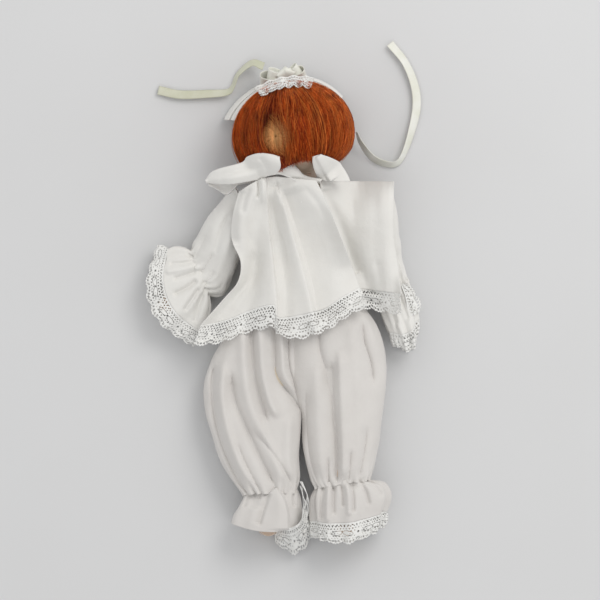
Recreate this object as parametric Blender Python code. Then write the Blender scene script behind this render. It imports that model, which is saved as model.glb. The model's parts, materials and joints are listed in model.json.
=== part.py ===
"""A porcelain doll lying face down: porcelain head, hands and feet on a stuffed cloth body,
with a wig, a bonnet with ribbons, a gathered smock and gathered pantaloons.

Lengths below are in millimetres and become metres when a mesh is made.  +Z is up, +Y runs
towards the head, and the origin is on the flat underside of the smock front, below the back.
"""
import math

import bmesh
import bpy
import numpy
from mathutils import Vector

MM = 0.001

# Driving dimensions
CLOTH = 0.5                                # thickness of a cotton or muslin layer
PANEL = 0.6                                # thickness of the smock, which has a hem and facings
GAP = 0.35                                 # clearance between layers that touch
THREAD = 0.45                              # radius of a binding thread or an elastic
ELASTIC_DEPTH = CLOTH + GAP + 2 * THREAD   # from the outside of a gather to its elastic's inside
NECK = Vector((2.5, 58.0, 25.0))           # middle of the neck at its drawstring
HEAD_TILT = math.radians(11)               # lean of the head towards the doll's left
HEAD_RADII = Vector((20.5, 21.5, 21.5))    # half width, half height and half depth of the skull
HEAD_RISE = 25.5                           # from the neck to the middle of the skull
HEAD_SHIFT = -1.0                          # skull's middle to the side of the neck's axis
HAIR_RADII = Vector((30.0, 25.0, 29.5))
CROWN_RADIUS = 10.0
FOREARM_TOP = 30.0                         # along an arm, where porcelain starts
CUFF_AT = 43.0                             # along an arm, where its elastic sits
ARM_REACH = 69.0                           # shoulder to fingertips
SHIN_TOP = 42.0                            # along a leg, where porcelain starts
LEG_REACH = 96.0                           # hip to sole
FRONT_THICKNESS = 0.7
RIBBON_WIDTH = 5.0
HEM_LACE = 11.0                            # width of the lace below the smock

HEAD_UP = Vector((-math.sin(HEAD_TILT), math.cos(HEAD_TILT), 0))
HEAD_RIGHT = Vector((math.cos(HEAD_TILT), math.sin(HEAD_TILT), 0))
HEAD_MIDDLE = NECK + HEAD_UP * HEAD_RISE + HEAD_RIGHT * HEAD_SHIFT + Vector((0, 0, -0.5))
UP = Vector((0, 0, 1))

# slot: colour, roughness
FINISHES = {
    "porcelain": ((0.80, 0.60, 0.48), 0.30),
    "cotton": ((0.72, 0.70, 0.66), 0.90),
    "muslin": ((0.66, 0.58, 0.46), 0.95),
    "lace": ((0.76, 0.75, 0.72), 0.90),
    "stuffing": ((0.80, 0.79, 0.76), 1.00),
    "thread": ((0.70, 0.66, 0.58), 0.85),
    "elastic": ((0.78, 0.77, 0.74), 0.80),
    "hair": ((0.26, 0.06, 0.02), 0.55),
    "net": ((0.45, 0.24, 0.13), 0.90),
    "card": ((0.55, 0.45, 0.33), 0.95),
    "eye_glass": ((0.10, 0.16, 0.22), 0.10),
    "ribbon": ((0.72, 0.72, 0.62), 0.45),
}


# Scene and materials

def clear_scene():
    for item in list(bpy.data.objects):
        bpy.data.objects.remove(item)


def finish(slot):
    material = bpy.data.materials.get(slot)
    if material is None:
        colour, roughness = FINISHES[slot]
        material = bpy.data.materials.new(slot)
        material.use_nodes = True
        shader = material.node_tree.nodes["Principled BSDF"]
        shader.inputs["Base Color"].default_value = (*colour, 1)
        shader.inputs["Roughness"].default_value = roughness
    return material


def add_object(name, mesh, slot, joint_empty=None):
    piece = bpy.data.objects.new(name, mesh)
    bpy.context.collection.objects.link(piece)
    mesh.materials.append(finish(slot))
    mesh.shade_smooth()
    mesh.set_sharp_from_angle(angle=math.radians(50))
    if joint_empty is not None:
        piece.parent = joint_empty
        piece.matrix_parent_inverse = joint_empty.matrix_world.inverted()
    return piece


def joint_empty(name, place):
    empty = bpy.data.objects.new(name, None)
    empty.location = place * MM
    bpy.context.collection.objects.link(empty)
    bpy.context.view_layer.update()
    return empty


# Shapes

def ring(centre, across, rise, bow=Vector(), sides=14):
    """An ellipse from a half-width vector and a half-height vector, its middle pushed by bow."""
    points = []
    for step in range(sides):
        turn = 2 * math.pi * step / sides
        side = math.cos(turn)
        points.append(centre + across * side + rise * math.sin(turn) + bow * (1 - side * side))
    return points


def loft(rings, capped=True):
    """Skin a row of rings: capped at both ends, or joined end to end as a loop."""
    mesh = bpy.data.meshes.new("loft")
    body = bmesh.new()
    rows = [[body.verts.new(point * MM) for point in points] for points in rings]
    pairs = list(zip(rows, rows[1:]))
    if not capped:
        pairs.append((rows[-1], rows[0]))
    for low, high in pairs:
        for step in range(len(low)):
            after = (step + 1) % len(low)
            body.faces.new((low[step], low[after], high[after], high[step]))
    if capped:
        body.faces.new(rows[0])
        body.faces.new(rows[-1])
    bmesh.ops.recalc_face_normals(body, faces=body.faces)
    body.to_mesh(mesh)
    body.free()
    return mesh


def station(left, right, middle_z, half_height, bow=0.0):
    """A cross-section held between two points of the plan view."""
    left_end = Vector((*left, middle_z))
    right_end = Vector((*right, middle_z))
    across = (right_end - left_end) / 2
    outward = Vector((across.y, -across.x, 0)).normalized()
    return {"centre": (left_end + right_end) / 2, "across": across, "height": half_height,
            "bow": outward * bow}


def level_station(middle_x, y, half_width, middle_z, half_height):
    return station((middle_x - half_width, y), (middle_x + half_width, y), middle_z, half_height)


def station_ring(place, inset=0.0, sides=14):
    across = place["across"]
    return ring(place["centre"], across.normalized() * (across.length - inset),
                UP * (place["height"] - inset), place["bow"], sides)


def solid(stations, inset=0.0, sides=14):
    return loft([station_ring(place, inset, sides) for place in stations])


def sleeve_shell(stations, thickness=CLOTH, sides=14):
    """A tube of cloth, open at both ends."""
    outer = [station_ring(place, 0, sides) for place in stations]
    inner = [station_ring(place, thickness, sides) for place in reversed(stations)]
    return loft(outer + inner, capped=False)


def bag_shell(stations, thickness=CLOTH, sides=14):
    """A tube of cloth, closed at its first station and open at its last."""
    outer = [station_ring(place, 0, sides) for place in stations]
    inner = [station_ring(place, thickness, sides) for place in reversed(stations)]
    along = (stations[1]["centre"] - stations[0]["centre"]).normalized()
    inner[-1] = [point + along * thickness for point in inner[-1]]
    return loft(outer + inner)


def inside_of(place, depth):
    """The same cross-section, smaller all round."""
    smaller = dict(place)
    smaller["across"] = place["across"].normalized() * (place["across"].length - depth)
    smaller["height"] = place["height"] - depth
    return smaller


def core_of(stations, depth):
    """The filling of a closed bag: smaller all round, and short of the bag's two ends."""
    core = [inside_of(place, depth) for place in stations]
    for end, beside in ((0, 1), (-1, -2)):
        core[end] = inside_of(core[end], depth * 2)
        along = (stations[beside]["centre"] - stations[end]["centre"]).normalized()
        core[end]["centre"] = core[end]["centre"] + along * depth
    return core


def band_ring(place, clearance, wire, sides=14):
    """A round thread or elastic tied about a station, clearance outside it."""
    around = []
    across_unit = place["across"].normalized()
    along = across_unit.cross(UP)
    half_width = place["across"].length + clearance + wire
    half_height = place["height"] + clearance + wire
    for step in range(sides):
        turn = 2 * math.pi * step / sides
        spoke = across_unit * math.cos(turn) * half_width + UP * math.sin(turn) * half_height
        out = spoke.normalized()
        around.append([place["centre"] + spoke
                       + (out * math.cos(roll) + along * math.sin(roll)) * wire
                       for roll in (math.pi * 2 * k / 5 for k in range(5))])
    return loft(around, capped=False)


def sheet_object(name, rows, slot, joint=None, thickness=PANEL):
    """A piece of cloth from rows of points, thickened downwards by a Solidify modifier."""
    mesh = bpy.data.meshes.new(name)
    body = bmesh.new()
    grid = [[body.verts.new(Vector(point) * MM) for point in row] for row in rows]
    for low, high in zip(grid, grid[1:]):
        for step in range(len(low) - 1):
            body.faces.new((low[step], low[step + 1], high[step + 1], high[step]))
    body.normal_update()
    if sum(face.normal.z for face in body.faces) < 0:
        bmesh.ops.reverse_faces(body, faces=body.faces)
    body.to_mesh(mesh)
    body.free()
    piece = add_object(name, mesh, slot, joint)
    solidify = piece.modifiers.new("thickness", "SOLIDIFY")
    solidify.thickness = thickness * MM
    solidify.offset = -1
    return piece


def mix(low, high, share):
    return low + (high - low) * share


def along_line(points, count):
    """Places spaced evenly along a line of the plan view that is given by its corners."""
    corners = [Vector(point) for point in points]
    lengths = [(b - a).length for a, b in zip(corners, corners[1:])]
    places = []
    for step in range(count):
        left = sum(lengths) * step / (count - 1)
        piece = 0
        while piece < len(lengths) - 1 and left > lengths[piece]:
            left -= lengths[piece]
            piece += 1
        places.append(corners[piece].lerp(corners[piece + 1], left / lengths[piece]))
    return places


def panel(left_edge, right_edge, count, columns, height):
    """Rows of points from a left edge to a right edge of the plan view, at their own heights."""
    rows = []
    for left, right in zip(along_line(left_edge, count), along_line(right_edge, count)):
        row = [left.lerp(right, step / (columns - 1)) for step in range(columns)]
        rows.append([(place.x, place.y, height(place.x, place.y)) for place in row])
    return rows


def ellipsoid(radii, segments=24, rings=14):
    """A ball in head axes: right, up and back of the head, about the skull's middle."""
    mesh = bpy.data.meshes.new("ellipsoid")
    body = bmesh.new()
    bmesh.ops.create_uvsphere(body, u_segments=segments, v_segments=rings, radius=1)
    for vert in body.verts:
        vert.co = head_point(vert.co.x * radii.x, vert.co.y * radii.y, vert.co.z * radii.z) * MM
    bmesh.ops.recalc_face_normals(body, faces=body.faces)
    body.to_mesh(mesh)
    body.free()
    return mesh


def head_point(right, up, back):
    return HEAD_MIDDLE + HEAD_RIGHT * right + HEAD_UP * up + UP * back


def head_box(low, high):
    mesh = bpy.data.meshes.new("box")
    body = bmesh.new()
    bmesh.ops.create_cube(body, size=1)
    for vert in body.verts:
        share = [coordinate + 0.5 for coordinate in vert.co]
        vert.co = head_point(*(mix(low[k], high[k], share[k]) for k in range(3))) * MM
    bmesh.ops.recalc_face_normals(body, faces=body.faces)
    body.to_mesh(mesh)
    body.free()
    return mesh


def combine(piece, mesh, operation):
    """Cut a mesh from a piece, or join it on, with a guide object that stays hidden."""
    guide = bpy.data.objects.new(piece.name + "_guide", mesh)
    bpy.context.collection.objects.link(guide)
    guide.hide_render = True
    guide.display_type = "WIRE"
    boolean = piece.modifiers.new(operation.lower(), "BOOLEAN")
    boolean.operation = operation
    boolean.solver = "EXACT"
    boolean.object = guide


# Cloth heights over what lies below

def surface_points(stations, spacing=1.0, sides=56):
    """A dense scatter over the upper half of a loft, which cloth above it rests on."""
    points = []
    for first, last in zip(stations, stations[1:]):
        steps = math.ceil((last["centre"] - first["centre"]).length / spacing) + 1
        for step in range(steps + 1):
            share = step / steps
            centre = first["centre"].lerp(last["centre"], share)
            across = first["across"].lerp(last["across"], share)
            bow = first["bow"].lerp(last["bow"], share)
            height = mix(first["height"], last["height"], share)
            above = [p for p in ring(centre, across, UP * height, bow, sides) if p.z >= centre.z - 0.01]
            points.extend(above)
    return points


def drape_over(supports, clearance, steepness=1.5, reach=3.2, floor=3.0):
    """A height for cloth laid over the supports: level for a short reach past each point of
    them, which is half a fold of the cloth, and then falling no steeper than the given slope."""
    points = numpy.array([point for stations in supports for point in surface_points(stations)])

    def height(x, y):
        away = numpy.hypot(points[:, 0] - x, points[:, 1] - y)
        falls = steepness * numpy.maximum(away - reach, 0.0)
        highest = float((points[:, 2] - falls).max())
        return max(highest + clearance, floor)

    return height


# Body: stations from the pelvis up to the neck

def neck_station(rise, radius, middle_z=None):
    centre = NECK + HEAD_UP * rise
    z = NECK.z if middle_z is None else middle_z
    left = centre - HEAD_RIGHT * radius
    right = centre + HEAD_RIGHT * radius
    return station(left.xy, right.xy, z, radius)


TORSO = [
    level_station(2.0, -20.0, 10.0, 12.8, 5.0),
    level_station(2.0, -16.0, 18.5, 12.8, 9.4),
    level_station(2.0, -8.0, 21.5, 12.9, 10.5),
    level_station(2.3, 4.0, 19.5, 12.7, 10.4),
    level_station(2.5, 20.0, 19.5, 12.6, 10.6),
    level_station(2.8, 38.0, 23.0, 15.4, 10.4),
    level_station(3.0, 45.5, 20.0, 18.8, 9.8),
    neck_station(-6.0, 10.4, 24.0),
]
NECK_HEM = [neck_station(-3.2, 9.6), neck_station(-2.2, 7.6), neck_station(0.6, 7.6)]
NECK_ABOVE = [neck_station(-1.0, 9.0), neck_station(12.0, 8.0)]

PANTS_SEAT = [
    level_station(2.0, 13.0, 21.8, 13.0, 11.9),
    level_station(1.5, 0.0, 28.0, 13.0, 11.9),
    level_station(0.8, -14.0, 36.0, 12.9, 11.8),
    level_station(0.4, -23.6, 40.5, 12.9, 11.8),
]
PANTS_LEGS = {
    "left": [
        station((-40.6, -24.2), (0.1, -24.2), 12.6, 11.8),
        station((-47.4, -43.0), (0.0, -44.0), 12.5, 12.0),
        station((-45.6, -60.0), (-0.1, -61.0), 12.6, 12.0),
        station((-40.9, -77.5), (0.2, -79.0), 13.4, 11.6),
        station((-32.0, -90.5), (0.4, -91.5), 14.8, 9.6),
        station((-25.0, -95.8), (-3.2, -97.0), 15.6, 7.6),
    ],
    "right": [
        station((0.7, -24.2), (41.4, -24.2), 12.6, 11.8),
        station((0.8, -44.5), (42.2, -45.0), 12.5, 12.0),
        station((1.0, -64.0), (40.6, -64.0), 12.7, 12.0),
        station((2.4, -78.0), (38.2, -77.0), 13.6, 11.4),
        station((5.0, -87.5), (36.4, -84.5), 14.8, 9.6),
        station((10.2, -92.6), (32.0, -90.4), 15.6, 7.6),
    ],
}
ANKLE_RUFFLES = {
    "left": [
        station((-25.0, -96.4), (-3.2, -97.6), 15.7, 7.6),
        station((-33.0, -105.0), (1.0, -105.0), 14.0, 11.6, 1.0),
        station((-35.5, -111.5), (2.0, -112.5), 12.8, 12.2, 4.0),
    ],
    "right": [
        station((10.2, -93.2), (32.2, -91.0), 15.7, 7.6),
        station((6.8, -101.0), (44.0, -96.0), 14.0, 11.6, 1.0),
        station((6.6, -112.0), (43.2, -105.5), 12.8, 12.2, 3.0),
    ],
}
ANKLE_LACES = {
    "left": [
        station((-35.5, -112.0), (2.0, -113.0), 12.8, 12.2, 4.0),
        station((-33.5, -115.5), (4.2, -121.5), 12.6, 12.1, 6.0),
    ],
    "right": [
        station((6.6, -112.5), (43.2, -106.0), 12.8, 12.2, 3.0),
        station((6.6, -119.5), (40.8, -110.8), 12.6, 12.1, 3.5),
    ],
}

SLEEVES = {
    "left": [
        station((-33.0, 57.0), (-22.4, 37.5), 17.6, 9.2),
        station((-41.0, 50.5), (-26.4, 30.0), 15.0, 9.0),
        station((-48.8, 36.0), (-32.4, 18.0), 12.4, 8.8),
        station((-53.4, 27.0), (-34.0, 7.0), 10.0, 8.4),
        station((-55.4, 24.0), (-41.6, 3.4), 8.4, 7.6),
        station((-56.4, 22.0), (-48.4, 6.4), 7.7, 7.0),
    ],
    "right": [
        station((27.2, 37.0), (46.0, 56.0), 17.6, 9.2),
        station((28.0, 30.5), (49.0, 41.0), 15.0, 9.0),
        station((32.0, 18.6), (49.4, 25.5), 12.0, 8.6),
        station((36.6, 8.2), (50.8, 14.0), 9.2, 7.8),
        station((39.4, 2.6), (53.4, 8.6), 7.7, 7.0),
    ],
}
CUFF_RUFFLES = {
    "left": [
        station((-57.0, 21.8), (-49.0, 6.0), 7.7, 7.0),
        station((-62.0, 25.0), (-50.5, -6.0), 7.9, 7.3, 2.5),
        station((-67.5, 25.5), (-49.0, -18.0), 7.8, 7.2, 12.0),
    ],
    "right": [
        station((39.6, 2.0), (53.6, 8.0), 7.7, 7.0),
        station((43.4, -9.0), (59.0, -1.5), 7.9, 7.3, 1.5),
        station((46.0, -15.5), (61.5, -6.5), 7.8, 7.2, 5.0),
    ],
}
CUFF_LACES = {
    "left": [
        station((-67.9, 26.0), (-49.0, -18.6), 7.8, 7.3, 12.2),
        station((-71.5, 28.5), (-47.5, -23.0), 7.6, 7.2, 17.0),
    ],
    "right": [
        station((46.1, -16.1), (62.0, -7.0), 7.8, 7.3, 5.1),
        station((47.0, -21.5), (63.8, -10.0), 7.6, 7.2, 6.0),
    ],
}

# Limbs: a pivot, a direction in plan, and the height that each has come down or up to by level_at
LIMBS = {
    "arm_left": {"pivot": Vector((-24.5, 45.8, 16.6)), "aim": Vector((-0.66, -0.751)),
                 "end_z": 7.6, "level_at": CUFF_AT},
    "arm_right": {"pivot": Vector((31.0, 45.8, 16.6)), "aim": Vector((0.38, -0.925)),
                  "end_z": 7.6, "level_at": CUFF_AT},
    "leg_left": {"pivot": Vector((-12.5, -20.5, 12.6)), "aim": Vector((-0.035, -0.999)),
                 "end_z": 17.6, "level_at": LEG_REACH},
    "leg_right": {"pivot": Vector((15.0, -20.5, 12.6)), "aim": Vector((0.085, -0.996)),
                  "end_z": 17.6, "level_at": LEG_REACH},
}


def limb_station(limb, along, half_width, half_height=None, aside=0.0):
    """A cross-section of a limb at a distance along it from its pivot."""
    aim = limb["aim"].normalized()
    side = Vector((-aim.y, aim.x))
    middle = limb["pivot"].xy + aim * along + side * aside
    level = min(along / limb["level_at"], 1.0)
    middle_z = mix(limb["pivot"].z, limb["end_z"], level)
    height = half_width if half_height is None else half_height
    return station(middle - side * half_width, middle + side * half_width, middle_z, height)


def limb_cloth(side_name, limb, part, girth, porcelain_top, joint):
    """Cloth upper limb: cover, stuffing, and the thread that binds the cover to the porcelain."""
    flange = 4.1
    groove = 3.1
    cover = [
        limb_station(limb, 2.0, girth * 0.62),
        limb_station(limb, 5.0, girth * 0.92),
        limb_station(limb, porcelain_top * 0.5, girth),
        limb_station(limb, porcelain_top - 1.2, flange + GAP + CLOTH + 0.5),
        limb_station(limb, porcelain_top + 1.2, flange + GAP + CLOTH),
        limb_station(limb, porcelain_top + 2.2, groove + GAP + CLOTH),
        limb_station(limb, porcelain_top + 5.0, groove + GAP + CLOTH),
    ]
    name = part + "_cover_" + side_name
    add_object(name, bag_shell(cover, sides=12), "muslin", joint)
    core = core_of(cover[:4], CLOTH + GAP + 0.2)
    add_object(part + "_stuffing_" + side_name, solid(core, sides=12), "stuffing", joint)
    binding = band_ring(limb_station(limb, porcelain_top + 3.6, groove + GAP + CLOTH), GAP, THREAD, 12)
    return binding, flange, groove


def make_arm(side_name, joint):
    limb = LIMBS["arm_" + side_name]
    binding, flange, groove = limb_cloth(side_name, limb, "upper_arm", 5.2, FOREARM_TOP, joint)
    add_object("arm_binding_" + side_name, binding, "thread", joint)
    thumb_side = 1 if side_name == "left" else -1
    top = FOREARM_TOP
    forearm = [
        limb_station(limb, top - 0.6, flange),
        limb_station(limb, top + 0.8, flange),
        limb_station(limb, top + 1.6, groove),
        limb_station(limb, top + 5.4, groove),
        limb_station(limb, top + 6.2, 4.3),
        limb_station(limb, top + 14.0, 4.1),
        limb_station(limb, ARM_REACH - 15.0, 3.1),
        limb_station(limb, ARM_REACH - 12.0, 4.2, 2.8),
        limb_station(limb, ARM_REACH - 7.0, 4.6, 2.4),
        limb_station(limb, ARM_REACH - 2.0, 3.4, 1.9),
        limb_station(limb, ARM_REACH, 1.8, 1.2),
    ]
    hand = add_object("forearm_" + side_name, solid(forearm, sides=12), "porcelain", joint)
    thumb = [
        limb_station(limb, ARM_REACH - 12.5, 1.2, 1.2, 2.6 * thumb_side),
        limb_station(limb, ARM_REACH - 8.5, 1.5, 1.4, 4.6 * thumb_side),
        limb_station(limb, ARM_REACH - 4.5, 0.9, 0.9, 6.2 * thumb_side),
    ]
    combine(hand, solid(thumb, sides=8), "UNION")
    sleeve = SLEEVES[side_name]
    add_object("sleeve_" + side_name, sleeve_shell(sleeve), "cotton", joint)
    elastic = band_ring(inside_of(sleeve[-1], ELASTIC_DEPTH), 0.0, THREAD)
    add_object("cuff_elastic_" + side_name, elastic, "elastic", joint)
    add_object("cuff_ruffle_" + side_name, sleeve_shell(CUFF_RUFFLES[side_name]), "cotton", joint)
    add_object("cuff_lace_" + side_name, sleeve_shell(CUFF_LACES[side_name]), "lace", joint)


def make_leg(side_name, joint):
    limb = LIMBS["leg_" + side_name]
    binding, flange, groove = limb_cloth(side_name, limb, "thigh", 8.4, SHIN_TOP, joint)
    add_object("leg_binding_" + side_name, binding, "thread", joint)
    top = SHIN_TOP
    shin = [
        limb_station(limb, top - 0.6, flange),
        limb_station(limb, top + 0.8, flange),
        limb_station(limb, top + 1.6, groove),
        limb_station(limb, top + 5.4, groove),
        limb_station(limb, top + 6.4, 5.0),
        limb_station(limb, top + 16.0, 5.6),
        limb_station(limb, LEG_REACH - 20.0, 4.2),
        limb_station(limb, LEG_REACH - 8.0, 3.8),
        limb_station(limb, LEG_REACH - 2.5, 4.0, 4.6),
        limb_station(limb, LEG_REACH, 2.6, 3.0),
    ]
    leg = add_object("lower_leg_" + side_name, solid(shin, sides=12), "porcelain", joint)
    ankle = limb_station(limb, LEG_REACH - 5.5, 1.0)["centre"]
    across = Vector((-limb["aim"].y, limb["aim"].x, 0)).normalized()
    along = Vector((*limb["aim"], 0)).normalized()
    # depth below the ankle, half width, half thickness
    foot = ((0, 3.6, 3.4), (5, 4.2, 3.4), (9.5, 4.9, 2.7), (13, 4.4, 2.0), (15.2, 2.4, 1.2))
    foot_rings = []
    for depth, wide, thick in foot:
        middle = ankle - UP * depth + along * (4.4 - thick * 0.9)
        foot_rings.append(ring(middle, across * wide, along * thick, sides=12))
    combine(leg, loft(foot_rings), "UNION")
    pants = PANTS_LEGS[side_name]
    add_object("pants_leg_" + side_name, sleeve_shell(pants), "cotton", joint)
    elastic = band_ring(inside_of(pants[-1], ELASTIC_DEPTH), 0.0, THREAD)
    add_object("ankle_elastic_" + side_name, elastic, "elastic", joint)
    add_object("ankle_ruffle_" + side_name, sleeve_shell(ANKLE_RUFFLES[side_name]), "cotton", joint)
    add_object("ankle_lace_" + side_name, sleeve_shell(ANKLE_LACES[side_name]), "lace", joint)


def make_body():
    add_object("torso_stuffing", solid(core_of(TORSO, CLOTH + GAP + 0.1)), "stuffing")
    add_object("torso_cover", bag_shell(TORSO + NECK_HEM), "muslin")
    add_object("neck_drawstring", band_ring(neck_station(-0.8, 7.6), GAP, 0.5), "thread")
    add_object("pants_seat", sleeve_shell(PANTS_SEAT), "cotton")
    waist = level_station(2.0, 13.9, 21.0, 13.0, 11.1)
    add_object("waist_elastic", band_ring(waist, 0.0, THREAD, 16), "elastic")


# Smock: a flat front below the body, two back panels over it, collars and hem laces

def make_smock():
    hem_y = -11.0
    seam = 0.5

    def on_table(x, y):
        return FRONT_THICKNESS

    front = panel([(-20, 46), (-25, hem_y)], [(26, 46), (30, hem_y)], 4, 5, on_table)
    sheet_object("smock_front", front, "cotton", None, FRONT_THICKNESS)
    lace = panel([(-25, hem_y - seam), (-27, hem_y - HEM_LACE)],
                 [(30, hem_y - seam), (32, hem_y - HEM_LACE)], 2, 5, on_table)
    sheet_object("hem_lace_front", lace, "lace", None, FRONT_THICKNESS)

    body = [TORSO, NECK_HEM, NECK_ABOVE, PANTS_SEAT]
    legs = [stations[:2] for stations in PANTS_LEGS.values()]
    arms = [part[side_name] for part in (SLEEVES, CUFF_RUFFLES, CUFF_LACES) for side_name in part]
    right_height = drape_over(body + legs + arms, 2.1)
    left_height = drape_over(body + legs + arms, 4.6)

    hem_right = [(24.0, 3.6), (49.6, 1.0)]
    right = panel([(10, 60.5), (12, 46), (18, 20), hem_right[0]],
                  [(46.5, 59.4), (49.6, 55), (49.6, 20), hem_right[1]], 9, 9, right_height)
    sheet_object("smock_back_right", right, "cotton")
    lace = panel([(24, 3.6 - seam), (23.5, -8.5)], [(49.6, 1 - seam), (49.2, -10)], 3, 8, right_height)
    sheet_object("hem_lace_back_right", lace, "lace")

    left = panel([(-20, 52), (-28, 42), (-27.5, 30), (-26.5, 17), (-31.5, 3), (-46, -10)],
                 [(8.5, 61.5), (14, 48), (20, 30), (26, 17), (31, 7), (32.5, 2)], 11, 11, left_height)
    sheet_object("smock_back_left", left, "cotton")
    lace = panel([(-46, -10 - seam), (-52.5, -21.5)], [(32.5, 2 - seam), (34, -8.5)], 3, 11, left_height)
    sheet_object("hem_lace_back_left", lace, "lace")


def hair_height(x, y, proud):
    """Height of the outside of the hair at a place of the plan view."""
    offset = Vector((x, y)) - HEAD_MIDDLE.xy
    right = offset.dot(HEAD_RIGHT.xy) / (HAIR_RADII.x + proud)
    up = offset.dot(HEAD_UP.xy) / (HAIR_RADII.y + proud)
    inside = max(0.0, 1 - right * right - up * up)
    return HEAD_MIDDLE.z + (HAIR_RADII.z + proud) * math.sqrt(inside)


def make_collars():
    def on_hair(x, y, z):
        return (x, y, max(z, hair_height(x, y, 1.5)))

    left_wing = [
        [(-44.0, 59.0, 38.0), (-33.0, 58.0, 38.0), (-20.0, 59.0, 38.0), (-9.0, 62.5, 42.0)],
        [(-46.5, 60.5, 38.0), (-35.0, 63.5, 40.0), (-20.0, 66.0, 48.0), (-9.0, 66.5, 51.0)],
        [(-40.0, 66.0, 38.0), (-31.0, 70.0, 45.0), (-20.0, 72.0, 52.0), (-10.0, 70.5, 54.0)],
    ]
    right_wing = [
        [(13.0, 60.8, 39.0), (19.0, 60.8, 38.0), (25.0, 60.8, 37.0)],
        [(11.0, 66.0, 49.0), (17.0, 65.5, 48.0), (22.5, 64.5, 45.0)],
        [(7.0, 71.0, 54.0), (12.5, 70.0, 53.0), (17.5, 68.5, 50.5)],
    ]
    for name, wing in (("collar_left", left_wing), ("collar_right", right_wing)):
        sheet_object(name, [[on_hair(*point) for point in row] for row in wing], "cotton")


# Head

def make_head(joint):
    skull = add_object("porcelain_head", ellipsoid(HEAD_RADII), "porcelain", joint)
    neck_rings = []
    for rise, radius in ((-5.2, 8.4), (-3.9, 8.4), (-3.2, 6.2), (1.0, 6.2), (8.0, 7.0), (12.0, 7.5)):
        place = neck_station(rise, radius)
        neck_rings.append(station_ring(place, 0, 16))
    combine(skull, loft(neck_rings), "UNION")
    nose = [ring(head_point(0, up, -HEAD_RADII.z - back), HEAD_RIGHT * wide, UP * 1.6, sides=8)
            for up, wide, back in ((3.0, 1.0, -1.6), (-1.0, 1.4, -0.4), (-4.0, 2.0, 0.6), (-5.6, 1.2, -1.0))]
    combine(skull, loft(nose), "UNION")
    wall = 2.6
    inner = Vector([radius - wall for radius in HEAD_RADII])
    combine(skull, ellipsoid(inner, 18, 10), "DIFFERENCE")
    bore = [station_ring(neck_station(rise, 3.6), 0, 12) for rise in (-7.0, 10.0)]
    combine(skull, loft(bore), "DIFFERENCE")
    combine(skull, crown_disc(((0.0, CROWN_RADIUS), (30.0, CROWN_RADIUS))), "DIFFERENCE")
    inner_radius = CROWN_RADIUS - GAP
    pate = crown_disc(((15.5, inner_radius), (17.6, inner_radius), (19.2, 6.0), (19.6, 2.0)))
    add_object("crown_pate", pate, "card", joint)

    eye_radius = 3.6
    for side_name, side in (("left", -1), ("right", 1)):
        middle = head_point(7.2 * side, 1.5, -HEAD_RADII.z + 4.9)
        combine(skull, ball(middle, eye_radius + GAP, 14, 8), "DIFFERENCE")
        add_object("eye_" + side_name, ball(middle, eye_radius, 14, 8), "eye_glass", joint)

    cap_gap = 0.4
    cap_inner = HEAD_RADII + Vector((cap_gap,) * 3)
    cap_outer = cap_inner + Vector((0.6,) * 3)
    cap = add_object("wig_cap", ellipsoid(cap_outer), "net", joint)
    combine(cap, ellipsoid(cap_inner), "DIFFERENCE")
    combine(cap, head_box((-40, -40, -40), (40, 40, -4.0)), "DIFFERENCE")
    combine(cap, head_box((-40, -40, -40), (40, -10.0, 40)), "DIFFERENCE")

    hair = add_object("wig_hair", ellipsoid(HAIR_RADII, 28, 16), "hair", joint)
    combine(hair, ellipsoid(cap_outer + Vector((GAP,) * 3)), "DIFFERENCE")
    combine(hair, head_box((-16.5, -40, -40), (16.5, 15.0, -2.0)), "DIFFERENCE")
    combine(hair, head_box((-40, -40, -40), (40, 40, -19.0)), "DIFFERENCE")
    combine(hair, head_box((-40, -40, -40), (40, -17.0, 40)), "DIFFERENCE")


def crown_disc(profile):
    """A turned piece about the axis of the hole in the crown: rises with their radii."""
    return loft([ring(head_point(0, up, 3.0), HEAD_RIGHT * radius, UP * radius, sides=16)
                 for up, radius in profile])


def ball(middle, radius, segments, rings):
    mesh = bpy.data.meshes.new("ball")
    body = bmesh.new()
    bmesh.ops.create_uvsphere(body, u_segments=segments, v_segments=rings, radius=radius * MM)
    for vert in body.verts:
        vert.co += middle * MM
    body.to_mesh(mesh)
    body.free()
    return mesh


def around_head(degrees, width, height, z):
    turn = math.radians(degrees)
    place = HEAD_MIDDLE + HEAD_RIGHT * math.cos(turn) * width + HEAD_UP * math.sin(turn) * height
    return (place.x, place.y, z)


def make_bonnet(joint):
    steps = 10
    first, last = 28.0, 152.0
    rows = [[], []]
    for step in range(steps + 1):
        degrees = mix(first, last, step / steps)
        leftward = max(0.0, -math.cos(math.radians(degrees + 20)))
        rows[0].append(around_head(degrees, 28.6, 24.2, 11.5))
        rows[1].append(around_head(degrees, 31.0 + 5.0 * leftward, 29.0, 3.2))
    sheet_object("bonnet_brim", rows, "cotton", joint)
    lace_rows = [[around_head(mix(60.0, 118.0, step / 8), HAIR_RADII.x * spread, HAIR_RADII.y * spread, z)
                  for step in range(9)]
                 for spread, z in ((0.90, 39.5), (1.03, 35.0), (1.09, 22.0))]
    sheet_object("bonnet_lace", lace_rows, "lace", joint)

    knot = Vector((-5.0, 113.6, 12.0))
    rings = []
    for offset, high, deep in ((-11.5, 1.0, 1.2), (-9.0, 3.4, 4.6), (-5.0, 3.6, 5.2), (-1.2, 1.8, 2.4),
                               (1.2, 1.8, 2.4), (5.0, 3.6, 5.2), (9.0, 3.2, 4.6), (11.5, 1.0, 1.2)):
        rings.append(ring(knot + HEAD_RIGHT * offset, HEAD_UP * high, UP * deep, sides=10))
    add_object("ribbon_bow", loft(rings), "ribbon", joint)


# Ribbons: the plan of each middle line, its height, and how far it stands on edge (0 to 1)

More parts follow.
